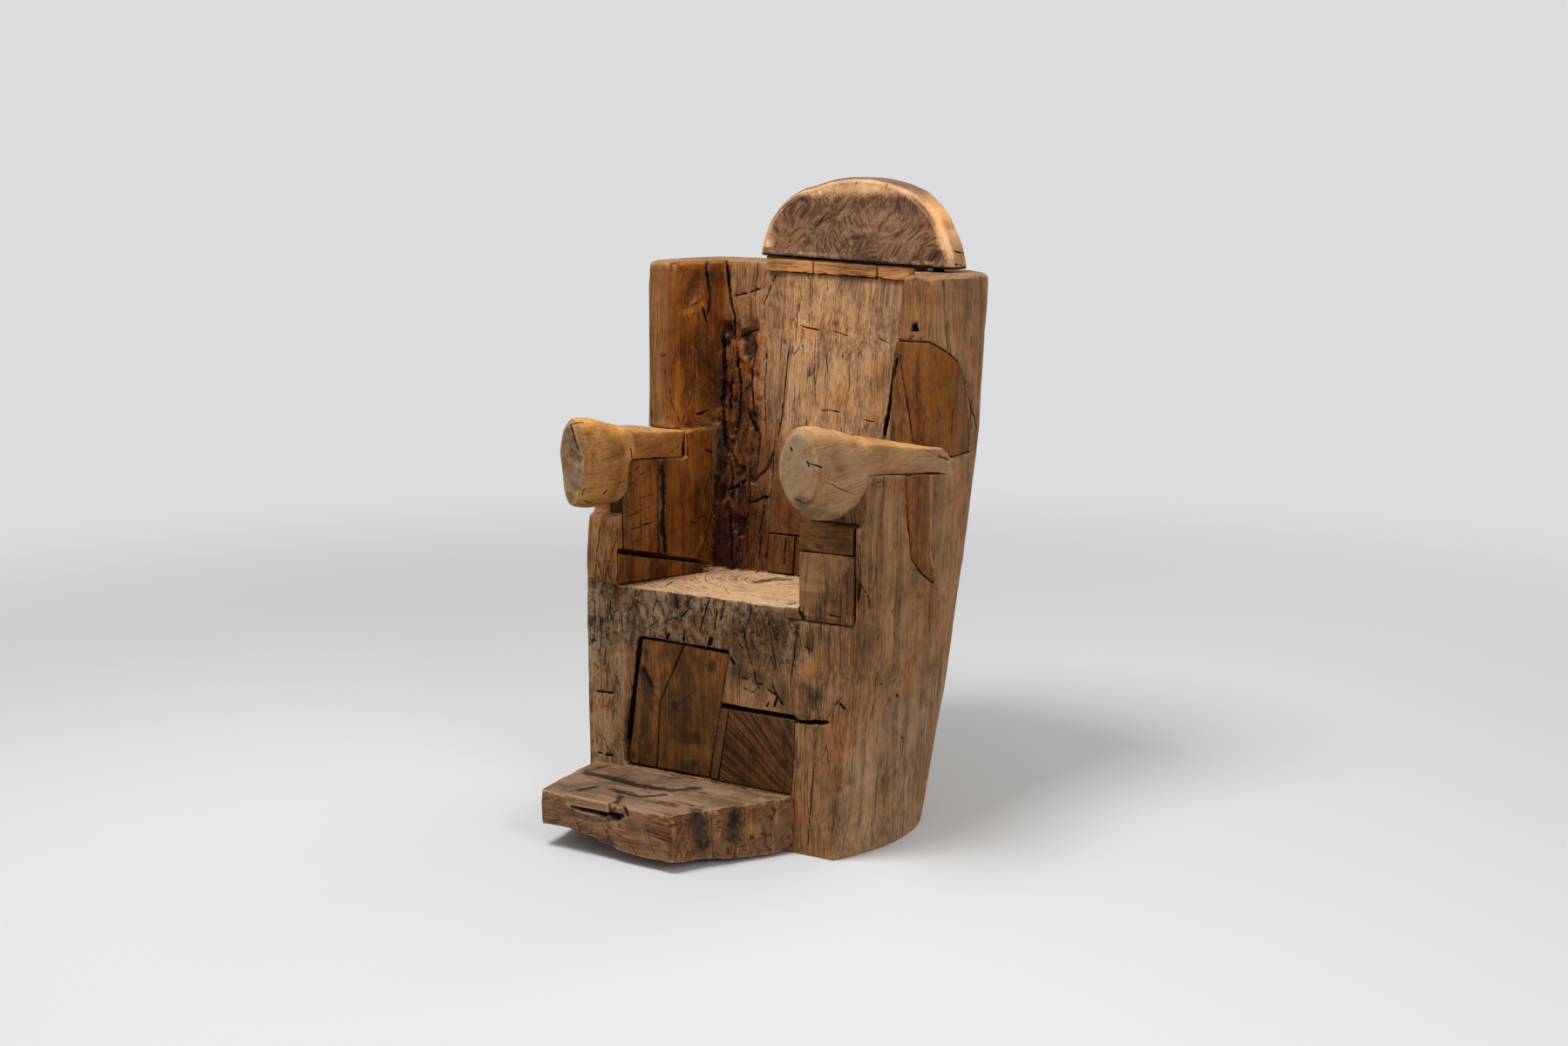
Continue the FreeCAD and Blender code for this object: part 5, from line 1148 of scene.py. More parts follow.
def drying_cracks(p, n):
    """0 to 1: long cracks down the log's rear and far side, each at its own angle round the log,
    bent by noise and widest half way up."""
    angle = np.arctan2(p[:, 1] - 0.06, p[:, 0] - 0.02)
    height = p * (0, 0, 1)
    bend = 0.07 * swell(height, 0.16, 121) + 0.015 * swell(height, 0.03, 122)
    total = np.zeros(len(p))
    for turn, low, high in DRYING_CRACKS:
        middle = (2 * p[:, 2] - low - high) / (high - low)
        width = 0.013 * np.clip(1.0 - middle ** 2, 0.0, 1.0) + 1e-4
        total = np.maximum(total, np.clip(1.0 - np.abs(angle - turn - bend) / width, 0.0, 1.0))
    upright = 1.0 - facing(np.abs(n), UP, 0.4, 0.7)
    return total * upright * ((n[:, 1] > 0.2) | (n[:, 0] < -0.6))


def hewn(p, n):
    """How deep the tools and the weather cut the log, in millimetres: shallow gouge cuts
    everywhere, fissures and chips on the front, pits where the back is rotten, long furrows along
    its grain, and drying cracks behind."""
    front = within(p, (-300, -260, 100), (340, -225, 455), 16) * facing(n, FRONT, 0.2, 0.7)
    back = within(p, (-240, 70, 450), (240, 200, 1100), 20) * facing(n, FRONT, 0.4, 0.8)
    wing = within(p, (-245, -5, 460), (-180, 175, 1100), 8) * facing(n, INWARDS, 0.15, 0.6)
    lip = within(p, (-270, -260, 455), (205, -232, 470), 12)
    chip = within(p, (110, -260, 450), (200, -225, 470), 20)
    smooth = 0.6 * facing(n, INWARDS, 0.4, 0.8)
    height = weathered(p) - (1 - smooth) * scoops(p, 0.036, 41, (1, 1, 1.7))
    height -= front * (2.4 * np.maximum(rough(p, 0.034, 45, 4, (1, 1, 2.6)), -0.1) + 0.3)
    height -= 5.0 * (lip + chip) * np.maximum(rough(p, 0.04, 47, 4) + 0.15, 0)
    height -= 1.4 * back * np.abs(rough(p, 0.02, 55, 3, (1, 1, 9)))
    height -= 2.8 * wing * scoops(p, 0.038, 59, (1, 1, 1.9))
    return height - 14.0 * rotten_pits(p, n) - 3.5 * fissures(p, n) - 8.0 * drying_cracks(p, n)


def back_shade(p, n):
    """The back's colour, which runs on over its joints: dark and brown low down and to the left,
    pale to the right and above."""
    face = facing(n, FRONT, 0.2, 0.6) * within(p, (-215, 60, 440), (235, 200, 1070), 10)
    rotten = within(p, (-212, 60, 460), (-140, 220, 930), 35)
    left = 1 - ease(p[:, 0], -0.16, -0.02)
    low = 1 - ease(p[:, 2] + 0.12 * ease(p[:, 0], -0.1, 0.1), 0.6, 0.86)
    return shades(p, (face, (1.27, 1.31, 1.41)), (face * left, (0.86, 0.8, 0.73)),
                  (face * low, (0.62, 0.5, 0.37)), (rotten * face, (0.9, 0.72, 0.44)))


def frailty(p, n):
    """0 to 1.5: the apron, the front's left corner and the lower front are cracked, the back a
    little, and the rotten strip most."""
    front = facing(n, FRONT, 0.2, 0.6)
    back = front * within(p, (-215, 60, 440), (235, 200, 640), 60)
    rotten = facing(n, FRONT, 0.0, 0.4) * within(p, (-207, 60, 470), (-145, 220, 930), 30)
    return np.clip(front * within(p, (-300, -262, 352), (205, -215, 470), 12)
                   + 0.7 * front * within(p, (-300, -262, 60), (-205, -215, 440), 12)
                   + 0.3 * front * within(p, (60, -262, 280), (340, -215, 400), 30)
                   + 0.5 * back + 1.5 * rotten, 0.0, 1.5)


def log_tint(p, n):
    """The log's own changes of colour, each over its part of the surface, and darker pits in the
    rotten strip, both rot and painted shade.
    """
    looks = {"inwards": facing(n, INWARDS, 0.15, 0.6), "side": facing(n, INWARDS, 0.3, 0.7),
             "front": facing(n, FRONT, 0.3, 0.7), "up": facing(n, UP, 0.5, 0.8)}
    areas = [(within(p, low, high, soft) * looks[way], shade)
             for low, high, soft, way, shade in LOG_TINTS.values()]
    # The rotten strip's pits are darker: rot, and painted shade in the pits
    return back_shade(p, n) * shades(p, *areas, (rotten_pits(p, n), (0.5, 0.5, 0.46)))


def make_log(sizes):
    """The log: its solid as an even net, worn round, cut back by hewn(), thinned and cracked."""
    def darkened(p, n):
        cracks = np.maximum(0.85 * fissures(p, n), np.minimum(1.0, 1.6 * drying_cracks(p, n)))
        return np.maximum(pocket_walls(p, n), cracks)

    def bloom(p, n):
        return np.minimum(1, within(p, (-300, -262, 100), (-200, -215, 470), 20)
                          + within(p, (-290, -262, 360), (200, -215, 458), 20))

    wood = Carving("trunk", sizes.log_voxel)
    wood.relax(log_wear(wood.points))
    wood.push(hewn(wood.points, wood.normals()))
    wood.thin(sizes.log_faces)
    engrave(wood)
    shown(wood, "log_wood", tint=log_tint, frail=frailty, darkened=darkened, bloom=bloom)


# The pieces let into the log, and those that lie on it

def plain_piece(node, slot, voxel, rounds=2, faces=30000, grain="Z", pith=LOG_PITH, shape=None,
                shrink=0.2, way=None, drawn=None, **looks):
    """A fitted piece: drawn out where it has to be, worn a little round, let in by a hair, shaped,
    thinned, cut and finished."""
    wood = Carving(node, voxel)
    if drawn is not None:
        wood.points = drawn(wood.points)
    wood.relax(rounds)
    height = weathered(wood.points) - shrink
    if shape is not None:
        height = height + shape(wood.points, wood.normals())
    wood.push(height)
    wood.thin(faces)
    engrave(wood)
    if node in FITTED:
        looks.setdefault("darkened", lambda points, normals: joint_dark(node, normals, way))
        looks.setdefault("rub", 0.12)
    shown(wood, slot, grain, pith, **looks)


def make_door(sizes):
    """The two boards, in shallow hollows and paler in patches near their heads."""
    def tint(p, n):
        top = within(p, (-140, -245, 300), (60, -200, 370), 30)
        return shades(p, (np.ones(len(p)), (1.04, 1.0, 0.78)),
                      (top * np.clip(0.5 + rough(p, 0.05, 64, 3), 0, 1), (1.15, 1.15, 1.12)))

    for side in ("left", "right"):
        plain_piece(f"door_board_{side}", "door_wood", sizes.board_voxel, faces=40000,
                    pith=(0.1, 0.1, 0), tint=tint,
                    shape=lambda p, n: -0.5 * scoops(p, 0.05, 61, (1, 1, 1.3)))


def make_corner_block():
    """The corner block, gouged in lines that run out from a point low on its right, and the strip
    beside it."""
    def beat(p):
        """-1 to 1: noise counted by the angle round that point, drawn out along the radius."""
        way = p - np.array((0.33, 0, 0.0))
        angle = np.arctan2(way[:, 2], way[:, 0])
        away = np.hypot(way[:, 0], way[:, 2])
        return rough(np.stack([angle * 0.66, away * 0.08, 0 * away], 1), 0.0062, 71, 2)

    def face(n):
        return facing(n, FRONT, 0.5, 0.9)

    def tint(p, n):
        return shades(p, (face(n), (0.72, 0.62, 0.45)),
                      (face(n) * ease(beat(p), 0.0, 0.4), (0.64, 0.6, 0.55)),
                      (face(n) * ease(-beat(p), 0.1, 0.4), (1.3, 1.31, 1.33)))

    plain_piece("corner_block", "block_wood", 1.7 * MM, faces=90000, pith=(0.2, 0.0, 0), tint=tint,
                shape=lambda p, n: -1.8 * face(n) * np.maximum(beat(p) + 0.2, -0.1))
    plain_piece("corner_block_strip", "block_wood", 1.8 * MM, faces=20000, pith=(0.2, 0.0, 0),
                tint=plain_tint(0.86, 0.8, 0.7))


def make_post_blocks(sizes):
    """The block and its cap, with fine level saw lines. Below the seat the block looks like the
    log's apron, up to a cut that carries the block's edge on down."""
    def saw_lines(p, n):
        return -0.5 * facing(n, FRONT) * np.abs(rough(p, 0.009, 73, 2, (9, 1, 1)))

    def tint(p, n):
        apron = (1 - ease(p[:, 0], 0.2045, 0.2075))[:, None]
        own = shades(p, (np.ones(len(p)), (0.94, 0.9, 0.84)),
                     (ease(rough(p, 0.012, 73, 2, (9, 1, 1)), -0.1, 0.4), (0.8, 0.78, 0.76)))
        return own * (1 - apron) + log_tint(p, n) * apron

    def joint(p, n):
        return joint_dark("right_post_block", n) * (1 - 0.85 * (1 - ease(p[:, 0], 0.204, 0.208)))

    plain_piece("right_post_block", "block_wood", sizes.board_voxel, faces=60000, shape=saw_lines,
                darkened=joint, tint=tint, rub=0.15, looks_like="log_wood")
    plain_piece("right_post_cap", "block_wood", sizes.board_voxel, 3, 40000, "X", (0, 0.2, 0.5),
                shape=saw_lines, tint=plain_tint(0.93, 0.84, 0.61))


def make_wall_boards(sizes):
    """The board, the strip, painted near black as shade in the wall's gap, and the wedge let into
    the left wall.
    """
    warm = {"pith": (0, 0.1, 0), "shape": lambda p, n: -0.9 * scoops(p, 0.03, 75),
            "tint": plain_tint(1.2, 1.18, 1.05)}
    plain_piece("left_wall_board", "inlay_wood", sizes.board_voxel, faces=40000, **warm)
    # The strip is painted near black, as painted shade in the wall's gap
    plain_piece("left_wall_strip", "door_wood", 1.4 * MM, 1, 12000, tint=plain_tint(0.256))
    plain_piece("left_wall_wedge", "inlay_wood", sizes.board_voxel, **warm)


def make_side_inlay(sizes):
    """The curved inlay in the right side, with two trenails, and two more behind it."""
    plain_piece("right_side_inlay", "inlay_wood", sizes.board_voxel, faces=40000,
                pith=(0.2, 0, 0), tint=plain_tint(1.05, 0.93, 0.62))
    plain_piece("inlay_pins", "door_wood", 0.8 * MM, 1, 8000, "X", tint=plain_tint(0.3815))


def make_wing_inlays(sizes):
    """The arched inlay, the tall dark wedge beside it and the sliver behind it."""
    plain_piece("right_wing_inlay", "inlay_wood", 2.4 * MM, faces=80000, pith=(0.2, 0, 0),
                shape=lambda p, n: 1.5 * swell(p, 0.08, 77), way=(0.6, -0.8, 0),
                tint=plain_tint(0.96, 0.9, 0.69))
    plain_piece("right_wing_wedge", "door_wood", sizes.board_voxel, way=(-0.3, -1, 0),
                looks_like="log_wood", tint=plain_tint(0.9, 0.8, 0.66))
    plain_piece("right_wing_sliver", "log_wood", sizes.board_voxel)


def make_back_boards(sizes):
    """The boards let into the back. They look like the log round them, as on the chair."""
    def split_grain(p, n):
        return -1.0 * facing(n, FRONT) * np.abs(rough(p, 0.018, 81, 3, (1, 1, 14)))

    def up_to_strips(p):
        """The board's head is drawn up by the 12 mm that part it from the strips."""
        share = ease(p[:, 2], 0.99, 1.034)
        return p + np.stack([0 * share, -0.0006 * share, (0.0125 - 0.03 * p[:, 0]) * share], 1)

    plain_piece("back_board", "back_wood", 2.6 * MM, 1, 110000, shape=split_grain, shrink=-0.3,
                drawn=up_to_strips, looks_like="log_wood", tint=back_shade)
    for side in ("left", "right"):
        plain_piece(f"back_patch_{side}", "back_wood", sizes.board_voxel, shape=split_grain,
                    looks_like="log_wood", tint=back_shade)


def gouged_lines(p):
    """-1 to 1: noise drawn out along one of four ways, mixed by how near each is to a turning
    angle, so that patches of strokes lie beside each other."""
    angle = 2.6 * swell(p, 0.11, 91) + 0.9
    total, weight = np.zeros(len(p)), np.full(len(p), 1e-6)
    for turn in np.arange(4) * math.pi / 4:
        share = np.maximum(np.cos(2 * (angle - turn)), 0) ** 3
        along = p[:, 0] * math.cos(turn) + p[:, 2] * math.sin(turn)
        across = p[:, 2] * math.cos(turn) - p[:, 0] * math.sin(turn)
        total += share * rough(np.stack([along / 6, p[:, 1], across], 1), 0.010, 92, 2)
        weight += share
    return total / weight


def make_headrest():
    """The headrest: a dished face of gouge strokes inside a pale worn rim, and three strips."""
    wood = Carving("headrest", 2.2 * MM)
    wood.relax(3)
    p, n = wood.points, wood.normals()
    under = n[:, 2] < -0.7
    slope, level = np.polyfit(p[under, 0], p[under, 2], 1)

    def over_gap(p):
        """How far a point lies over the headrest's sloping underside."""
        return p[:, 2] - level - slope * p[:, 0]

    def gouged(p, n):
        """1 on the dished face, 0 on its rim and off it."""
        rim = (1 - within(p, (-100, 150, 1000), (256, 190, 1192), 22)) * (p[:, 2] > 1.1)
        return ease(-n[:, 1], 0.82, 0.97) * (1 - 0.95 * rim)

    def tint(p, n):
        inside = gouged(p, n)
        right_rim = ease(-n[:, 1], 0.82, 0.97) * (1 - inside) * ease(p[:, 0], -0.12, -0.04)
        end = facing(n, SIDE, 0.85, 0.97) * ease(p[:, 1], 0.182, 0.196)
        return shades(p, (inside, (0.76, 0.73, 0.72)),
                      (inside * ease(gouged_lines(p), 0.0, 0.45), (0.66, 0.64, 0.64)),
                      (1 - inside, (1.2, 1.25, 1.27)),
                      (facing(n, UP, 0.6, 0.9), (0.66, 0.61, 0.64)), (end, (0.74, 0.7, 0.66)),
                      ((1 - inside) * facing(n, (1, -1, 0.4), 0.4, 0.9), (1.16, 1.16, 1.14)),
                      (right_rim, (1.12, 1.12, 1.1)))

    def shadow(p, n):
        return np.maximum(0.7 * facing(n, DOWN, 0.2, 0.6), 1.0 - ease(over_gap(p), 0.0015, 0.003))

    def full_height(p):
        """The strips are drawn 2 mm up into the headrest and 2 mm down into the log."""
        middle = (p[:, 2].max() + p[:, 2].min()) / 2
        return p + (0, 0, 2 * MM) * np.sign(p - middle)

    shoulders = (within(p, (-110, 160, 1150), (-40, 260, 1215), 30)
                 + within(p, (215, 160, 1165), (285, 260, 1225), 30)) * (1 - np.abs(n[:, 1]))
    inner = (n[:, 1] < -0.7).astype(float)
    rim = 1.0 - inner
    for _ in range(40):
        rim = wood.mean(rim)
    dish = inner * (1 - ease(rim, 0.06, 0.3)) * facing(n, FRONT, 0.75, 0.97)
    cut = 2.0 + 2.2 * np.maximum(gouged_lines(p), -0.2) + 1.2 * scoops(p, 0.034, 96)
    wood.push(weathered(p) * (1 - facing(n, DOWN)) + 4.0 * shoulders - dish * cut)
    wood.thin(150000)
    engrave(wood)
    shown(wood, "headrest_wood", "X", (0.02, 0.3, 1.02), tint=tint, frail=gouged, rub=1.5,
          darkened=shadow)
    # The strips' tops get painted shade where they meet the headrest's underside
    for side in ("left", "middle", "right"):
        plain_piece(f"headrest_strip_{side}", "strip_wood", 1.8 * MM, 2, 24000, "X", (0, 0.2, 1.0),
                    shape=lambda p, n: -1.2 * np.abs(rough(p, 0.02, 95, 3, (6, 1, 1))),
                    drawn=full_height, tint=plain_tint(1.0946),
                    darkened=lambda p, n: ease(over_gap(p), -0.0055, -0.0035))


def make_arms():
    """The arms: soft lumps, hollows in the heads' faces, and blunter lower rear corners."""
    def bloom(p, n):
        return ease(-p[:, 1], 0.25, 0.35) * (0.3 + 0.7 * facing(n, FRONT, 0.3, 0.8))

    def tint(p, n):
        face = facing(n, FRONT, 0.35, 0.8) * ease(-p[:, 1], 0.3, 0.335)
        inner = facing(n, SIDE, 0.4, 0.8) * (p[:, 0] < 0)
        # Painted highlight on the tops of the arms and painted shade on their undersides
        return shades(p, (face, (0.84, 0.86, 0.9)), (facing(n, DOWN, 0.2, 0.8), (0.85, 0.83, 0.8)),
                      (facing(n, (0.2, 0, 1), 0.4, 0.95), (1.34, 1.32, 1.24)),
                      (inner, (1.1, 1.02, 0.84)))

    def left_tint(p, n):
        face = facing(n, FRONT, 0.3, 0.8) * ease(-p[:, 1], 0.3, 0.33)
        return tint(p, n) * shades(p, (face, (0.82, 0.82, 0.82)))

    def squared(p):
        """The right head's lower rear corner is drawn out backwards and down."""
        rear = p[p[:, 2] < 0.7, 1].max()
        low = (1 - ease(p[:, 2], 0.66, 0.735)) * ease(p[:, 1], rear - 0.06, rear - 0.005)
        return p + low[:, None] * (0, 0.012, -0.009)

    wood = Carving("left_arm", 2.4 * MM)
    wood.relax(5 + 45 * within(wood.points, (-250, -262, 670), (-150, -190, 820), 14))
    p = wood.points
    # The head's inner side is narrowed, and its foot is drawn forwards and inwards.
    head = ease(-p[:, 1], 0.2, 0.235)
    p[:, 0] -= (0.021 * head + 0.009 * ease(-p[:, 1], 0.28, 0.345)) * ease(p[:, 0], -0.25, -0.17)
    low = 1 - ease(p[:, 2], 0.7, 0.735)
    p[:, 1] -= 0.012 * low * ease(p[:, 1], -0.3, -0.25)
    p[:, 0] += 0.006 * low * (1 - ease(p[:, 0], -0.26, -0.22)) * head
    hollow = 3.0 * facing(wood.normals(), FRONT, 0.4, 0.9) * (swell(p, 0.055, 104) - 0.5)
    wood.push(weathered(p) - 0.2 + 1.5 * swell(p, 0.05, 101) + hollow - 0.7 * scoops(p, 0.035, 106))
    wood.thin(100000)
    engrave(wood)
    shown(wood, "arm_wood", "Y", (-0.2, 0, 0.66), tint=left_tint, bloom=bloom)
    plain_piece("right_arm", "arm_wood", 2.4 * MM, 6, 110000, "Y", (0.29, 0, 0.7),
                shape=lambda p, n: 1.4 * swell(p, 0.05, 103) - 0.5 * scoops(p, 0.03, 105),
                drawn=squared, tint=tint, bloom=bloom)


def make_step():
    """The slab's worn underside is raised, most at its front left corner, by drawing the heights
    below its top together."""
    def tint(p, n):
        side = facing(n, (1, -0.3, 0), 0.3, 0.8)
        top = facing(n, UP, 0.4, 0.8)
        pale = side * ease(rough(p, 0.009, 117, 2, (1, 1, 3)), 0.15, 0.4)
        return shades(p, (1 - top, (0.92, 0.86, 0.8)), (side, (0.8, 0.76, 0.72)),
                      (pale, (1.3, 1.29, 1.18)), (top, (1.05, 1.07, 1.12)))

    wood = Carving("step", 2.5 * MM)
    p = wood.points
    wood.relax(6 + 12 * within(p, (-260, -470, 90), (90, -425, 130), 8)
               + 8 * within(p, (70, -470, 0), (200, -240, 130), 6))
    p, n = wood.points, wood.normals()
    top, foot = 0.111, np.interp(-p[:, 1], (0.24, 0.457), (0.002, 0.017))
    corner = ease(-p[:, 1], 0.28, 0.45) * (1 - ease(p[:, 0], -0.2, 0.02))
    uneven = ease(-p[:, 1], 0.25, 0.3) * np.maximum(rough(p * (1, 1, 0), 0.05, 115, 3), -0.2)
    lifted = 0.027 * corner + 0.008 * uneven
    p[:, 2] = top - (top - p[:, 2]) * (top - foot - lifted) / (top - foot)
    sides = 1 - facing(n, UP, 0.4, 0.8)
    height = weathered(p) + 1.5 * swell(p, 0.06, 111) - 1.6 * scoops(p, 0.04, 112, (1.3, 1.3, 1))
    height -= sides * 4.2 * np.maximum(rough(p, 0.035, 113, 4), -0.2)
    height -= (1 - sides) * 1.2 * np.abs(rough(p, 0.03, 114, 3, (3, 1, 1)))
    wood.push(height)
    wood.thin(130000)
    engrave(wood)
    shown(wood, "step_wood", "X", (0, -0.1, -0.1), tint=tint,
          frail=lambda p, n: 0.7 * (1 - facing(n, UP)))
    plain_piece("step_patch", "step_wood", 1.8 * MM, 3, 20000, "X", (0, -0.1, -0.1))


def finish_hidden():
    """The pegs, dowels and tenons inside keep the CAD mesh and get a wood finish."""
    for node in ("left_arm_pegs", "right_arm_pegs", "headrest_dowels", "step_tenons"):
        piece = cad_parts[node]
        piece.data.materials.clear()
        piece.data.materials.append(finish_for("peg_wood", "Z", (0, 0, 0)))


# The stage

FLOOR_SIDE = 60.0
# The floor fades into the room between these distances from the chair.
FADE = 1.2, 4.5
LAMP_AIM = Vector((0, 0, 0.6))
# Each lamp's name, place, width and power
LAMPS = (("key_lamp", (-0.5, -1.5, 3.8), 1.3, 104), ("side_lamp", (3.1, -1.7, 2.2), 1.8, 34),
         ("rear_lamp", (0.6, 2.8, 2.8), 1.8, 26))


def placed(name, data):
    """A new object in the scene."""
    holder = bpy.data.objects.new(name, data)
    bpy.context.scene.collection.objects.link(holder)
    return holder


def make_stage():
    """A pale floor that fades into a pale room, three soft lamps and the camera."""
    scene = bpy.context.scene
    cloth = Finish(bpy.data.materials.new("pale_floor"))
    place = cloth.add("ShaderNodeTexCoord", None, None, 3)
    away = cloth.add("ShaderNodeVectorMath", {"operation": "LENGTH"}, {0: place}, 1)
    plain = cloth.add("ShaderNodeBsdfPrincipled", None, {
        "Base Color": (0.74, 0.74, 0.74, 1), "Roughness": 0.9, "Specular IOR Level": 0.1})
    glow = cloth.add("ShaderNodeEmission", None, {"Color": ROOM_COLOUR, "Strength": 1.0})
    cloth.add("ShaderNodeOutputMaterial", None, {"Surface": cloth.add("ShaderNodeMixShader", None, {
        0: away.eased(*FADE) * cloth.looked_at(), 1: plain, 2: glow})})
    side = FLOOR_SIDE / 2
    corners = np.array([(-side, -side, 0), (side, -side, 0), (side, side, 0), (-side, side, 0)])
    floor = placed("floor", filled("floor", corners, np.array([(0, 1, 2), (0, 2, 3)])))
    floor.data.materials.append(cloth.owner)

    room = Finish(bpy.data.worlds.new("pale_room"))
    light = room.add("ShaderNodeBackground", None, {
        "Color": (1.0, 0.98, 0.95, 1), "Strength": 0.36})
    backdrop = room.add("ShaderNodeBackground", None, {"Color": ROOM_COLOUR})
    room.add("ShaderNodeOutputWorld", None, {"Surface": room.add("ShaderNodeMixShader", None, {
        0: room.looked_at(), 1: light, 2: backdrop})})
    scene.world = room.owner

    for name, spot, size, power in LAMPS:
        lamp = placed(name, bpy.data.lights.new(name, "AREA"))
        lamp.data.size, lamp.data.energy = size, power
        lamp.location = spot
        lamp.rotation_euler = (LAMP_AIM - Vector(spot)).to_track_quat("-Z", "Y").to_euler()
    camera = placed("camera", bpy.data.cameras.new("camera"))
    camera.data.lens, camera.data.sensor_width = CAMERA_LENS, CAMERA_SENSOR
    camera.location, camera.rotation_euler = CAMERA_PLACE, CAMERA_TURN
    scene.camera = camera
    scene.view_settings.view_transform = "Standard"


# The add-on's settings, operators and panel

class ThroneSizes(bpy.types.PropertyGroup):
    log_voxel: FloatProperty(
        name="Log fineness", description="Width of the faces the log is carved from",
        default=3.5 * MM, unit="LENGTH")
    board_voxel: FloatProperty(
        name="Board fineness", description="Width of the faces of boards and blocks",
        default=2.2 * MM, unit="LENGTH")
    log_faces: IntProperty(
        name="Log faces", description="Faces kept on the log before its cracks are cut",
        default=140000)


def tone(name, words, seen):
    """A colour that a user can change, given by its shares of 255 as seen."""
    return FloatVectorProperty(name=name, description=words, default=colour(*seen)[:3],
                               subtype="COLOR", size=3, min=0.0, max=1.0)


class ThroneTones(bpy.types.PropertyGroup):
    log_wood_pale: tone("Log, pale", "Pale streaks of the log", (160, 119, 78))
    log_wood_deep: tone("Log, deep", "Deep streaks of the log", (80, 52, 29))
    arm_wood_pale: tone("Arms, pale", "Pale streaks of the arms", (176, 136, 92))
    arm_wood_deep: tone("Arms, deep", "Deep streaks of the arms", (116, 82, 50))
    headrest_wood_pale: tone("Headrest, pale", "Pale streaks of the headrest", (190, 148, 110))
    headrest_wood_deep: tone("Headrest, deep", "Deep streaks of the headrest", (108, 74, 50))
    door_wood_pale: tone("Door, pale", "Pale streaks of the door", (112, 74, 40))
    door_wood_deep: tone("Door, deep", "Deep streaks of the door", (58, 35, 16))
    block_wood_pale: tone("Blocks, pale", "Pale streaks of the blocks", (124, 88, 56))
    block_wood_deep: tone("Blocks, deep", "Deep streaks of the blocks", (66, 43, 25))
    inlay_wood_pale: tone("Inlays, pale", "Pale streaks of the inlays", (132, 88, 46))
    inlay_wood_deep: tone("Inlays, deep", "Deep streaks of the inlays", (72, 42, 19))
    strip_wood_pale: tone("Strips, pale", "Pale streaks of the strips", (190, 136, 84))
    strip_wood_deep: tone("Strips, deep", "Deep streaks of the strips", (112, 68, 36))
    step_wood_pale: tone("Step, pale", "Pale streaks of the step", (158, 124, 92))
    step_wood_deep: tone("Step, deep", "Deep streaks of the step", (78, 54, 38))
    peg_wood_pale: tone("Pegs, pale", "Pale streaks of the pegs", (160, 120, 80))
    peg_wood_deep: tone("Pegs, deep", "Deep streaks of the pegs", (110, 76, 46))


class THRONE_OT_log(bpy.types.Operator):
    """Carves the log with its seat, walls, wings and back"""
    bl_idname = "throne.log"
    bl_label = "Log"

    def execute(self, context):
        make_log(context.scene.throne_sizes)
        return {"FINISHED"}


class THRONE_OT_door(bpy.types.Operator):
    """Makes the two boards of the door"""
    bl_idname = "throne.door"
    bl_label = "Door boards"

    def execute(self, context):
        make_door(context.scene.throne_sizes)
        return {"FINISHED"}


class THRONE_OT_corner_block(bpy.types.Operator):
    """Makes the gouged corner block and its strip"""
    bl_idname = "throne.corner_block"
    bl_label = "Corner block"

    def execute(self, context):
        make_corner_block()
        return {"FINISHED"}


class THRONE_OT_post_blocks(bpy.types.Operator):
    """Makes the block and the cap in the right post"""
    bl_idname = "throne.post_blocks"
    bl_label = "Post blocks"

    def execute(self, context):
        make_post_blocks(context.scene.throne_sizes)
        return {"FINISHED"}


class THRONE_OT_wall_boards(bpy.types.Operator):
    """Makes the pieces let into the left wall"""
    bl_idname = "throne.wall_boards"
    bl_label = "Wall boards"

    def execute(self, context):
        make_wall_boards(context.scene.throne_sizes)
        return {"FINISHED"}


class THRONE_OT_side_inlay(bpy.types.Operator):
    """Makes the inlay in the right side and its trenails"""
    bl_idname = "throne.side_inlay"
    bl_label = "Side inlay"

    def execute(self, context):
        make_side_inlay(context.scene.throne_sizes)
        return {"FINISHED"}


class THRONE_OT_wing_inlays(bpy.types.Operator):
    """Makes the pieces let into the right wing"""
    bl_idname = "throne.wing_inlays"
    bl_label = "Wing inlays"

    def execute(self, context):
        make_wing_inlays(context.scene.throne_sizes)
        return {"FINISHED"}


class THRONE_OT_back_boards(bpy.types.Operator):
    """Makes the boards let into the back"""
    bl_idname = "throne.back_boards"
    bl_label = "Back boards"

    def execute(self, context):
        make_back_boards(context.scene.throne_sizes)
        return {"FINISHED"}


class THRONE_OT_headrest(bpy.types.Operator):
    """Makes the headrest and its strips"""
    bl_idname = "throne.headrest"
    bl_label = "Headrest"

    def execute(self, context):
        make_headrest()
        return {"FINISHED"}


class THRONE_OT_arms(bpy.types.Operator):
    """Makes the two arms"""
    bl_idname = "throne.arms"
    bl_label = "Arms"

    def execute(self, context):
        make_arms()
        return {"FINISHED"}


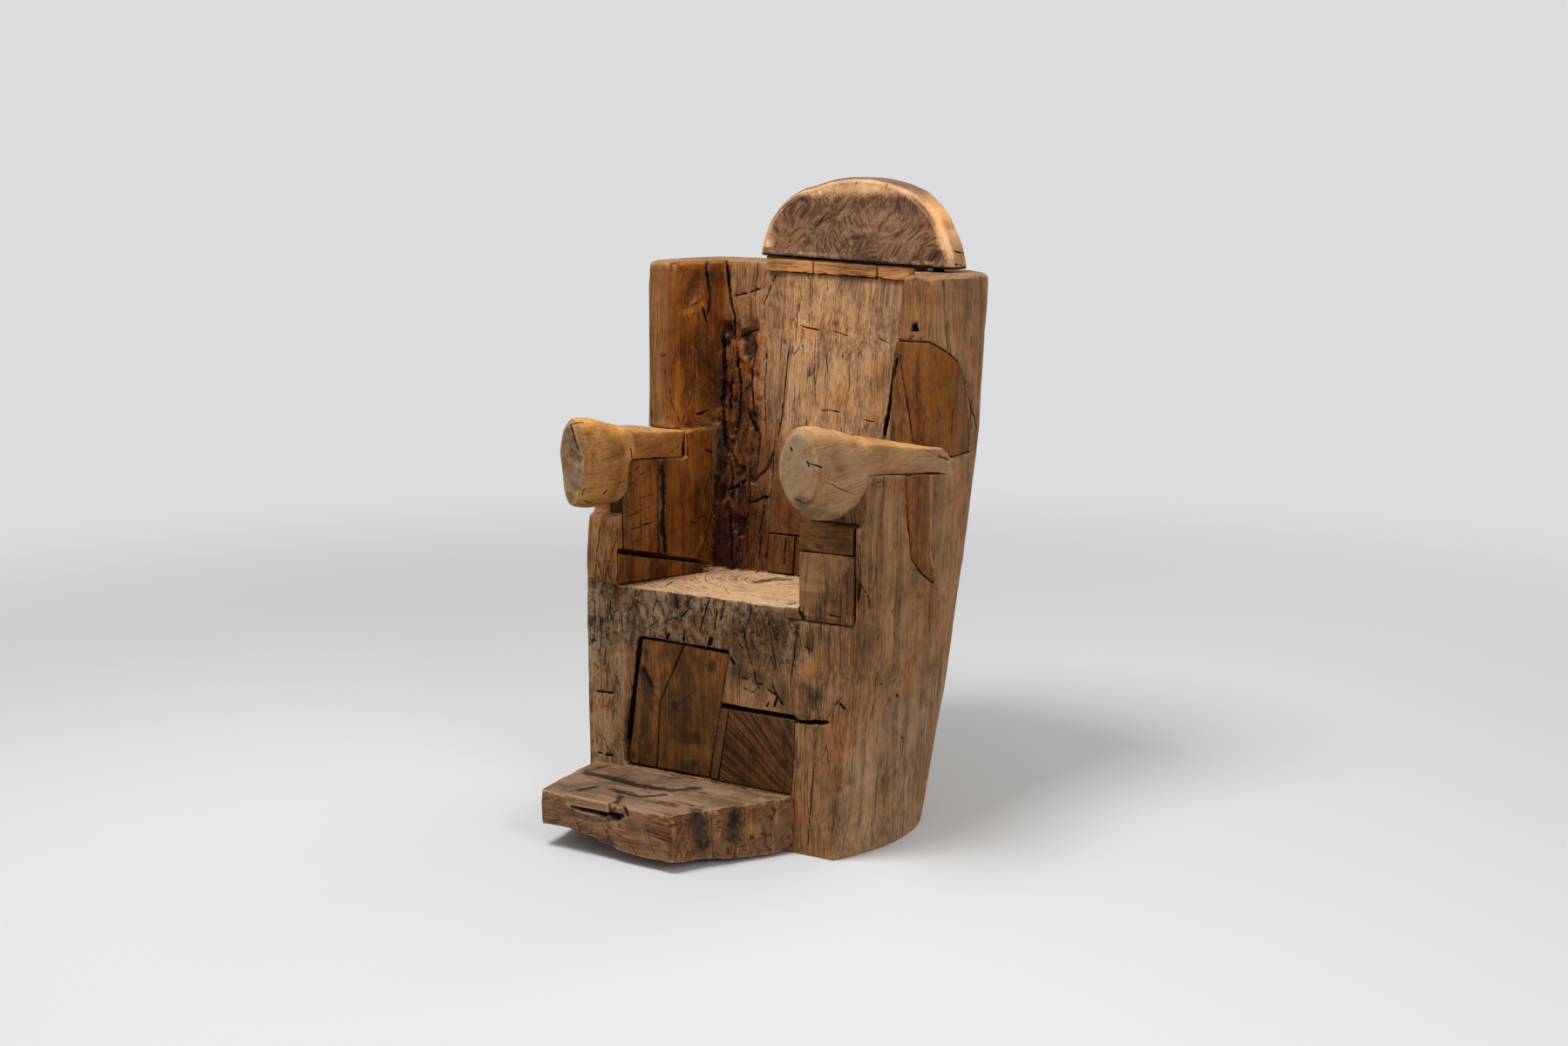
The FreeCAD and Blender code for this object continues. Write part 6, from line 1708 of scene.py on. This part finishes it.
class THRONE_OT_step(bpy.types.Operator):
    """Makes the step and its patch"""
    bl_idname = "throne.step"
    bl_label = "Step"

    def execute(self, context):
        make_step()
        return {"FINISHED"}


class THRONE_OT_hidden(bpy.types.Operator):
    """Finishes the pegs, dowels and tenons inside"""
    bl_idname = "throne.hidden"
    bl_label = "Pegs"

    def execute(self, context):
        finish_hidden()
        return {"FINISHED"}


class THRONE_OT_stage(bpy.types.Operator):
    """Sets the floor, lamps and camera"""
    bl_idname = "throne.stage"
    bl_label = "Stage"

    def execute(self, context):
        make_stage()
        return {"FINISHED"}


OPERATORS = [
    THRONE_OT_log, THRONE_OT_door, THRONE_OT_corner_block, THRONE_OT_post_blocks,
    THRONE_OT_wall_boards, THRONE_OT_side_inlay, THRONE_OT_wing_inlays, THRONE_OT_back_boards,
    THRONE_OT_headrest, THRONE_OT_arms, THRONE_OT_step, THRONE_OT_hidden,
    THRONE_OT_stage]


class THRONE_PT_panel(bpy.types.Panel):
    """Lists the pieces of the chair and the sizes and colours they read."""
    bl_label = "Throne chair"
    bl_space_type = "VIEW_3D"
    bl_region_type = "UI"
    bl_category = "Throne"

    def draw(self, context):
        column = self.layout.column()
        for group in (context.scene.throne_sizes, context.scene.throne_tones):
            for name in group.__annotations__:
                column.prop(group, name)
        for made in OPERATORS:
            column.operator(made.bl_idname)


CLASSES = [ThroneSizes, ThroneTones, *OPERATORS, THRONE_PT_panel]


def register():
    for made in CLASSES:
        bpy.utils.register_class(made)
    bpy.types.Scene.throne_sizes = PointerProperty(type=ThroneSizes)
    bpy.types.Scene.throne_tones = PointerProperty(type=ThroneTones)


def unregister():
    del bpy.types.Scene.throne_tones
    del bpy.types.Scene.throne_sizes
    for made in reversed(CLASSES):
        bpy.utils.unregister_class(made)


def main():
    """Makes the whole chair."""
    register()
    throne = bpy.ops.throne
    throne.log()
    throne.door()
    throne.corner_block()
    throne.post_blocks()
    throne.wall_boards()
    throne.side_inlay()
    throne.wing_inlays()
    throne.back_boards()
    throne.headrest()
    throne.arms()
    throne.step()
    throne.hidden()
    throne.stage()


if __name__ == "__main__":
    main()
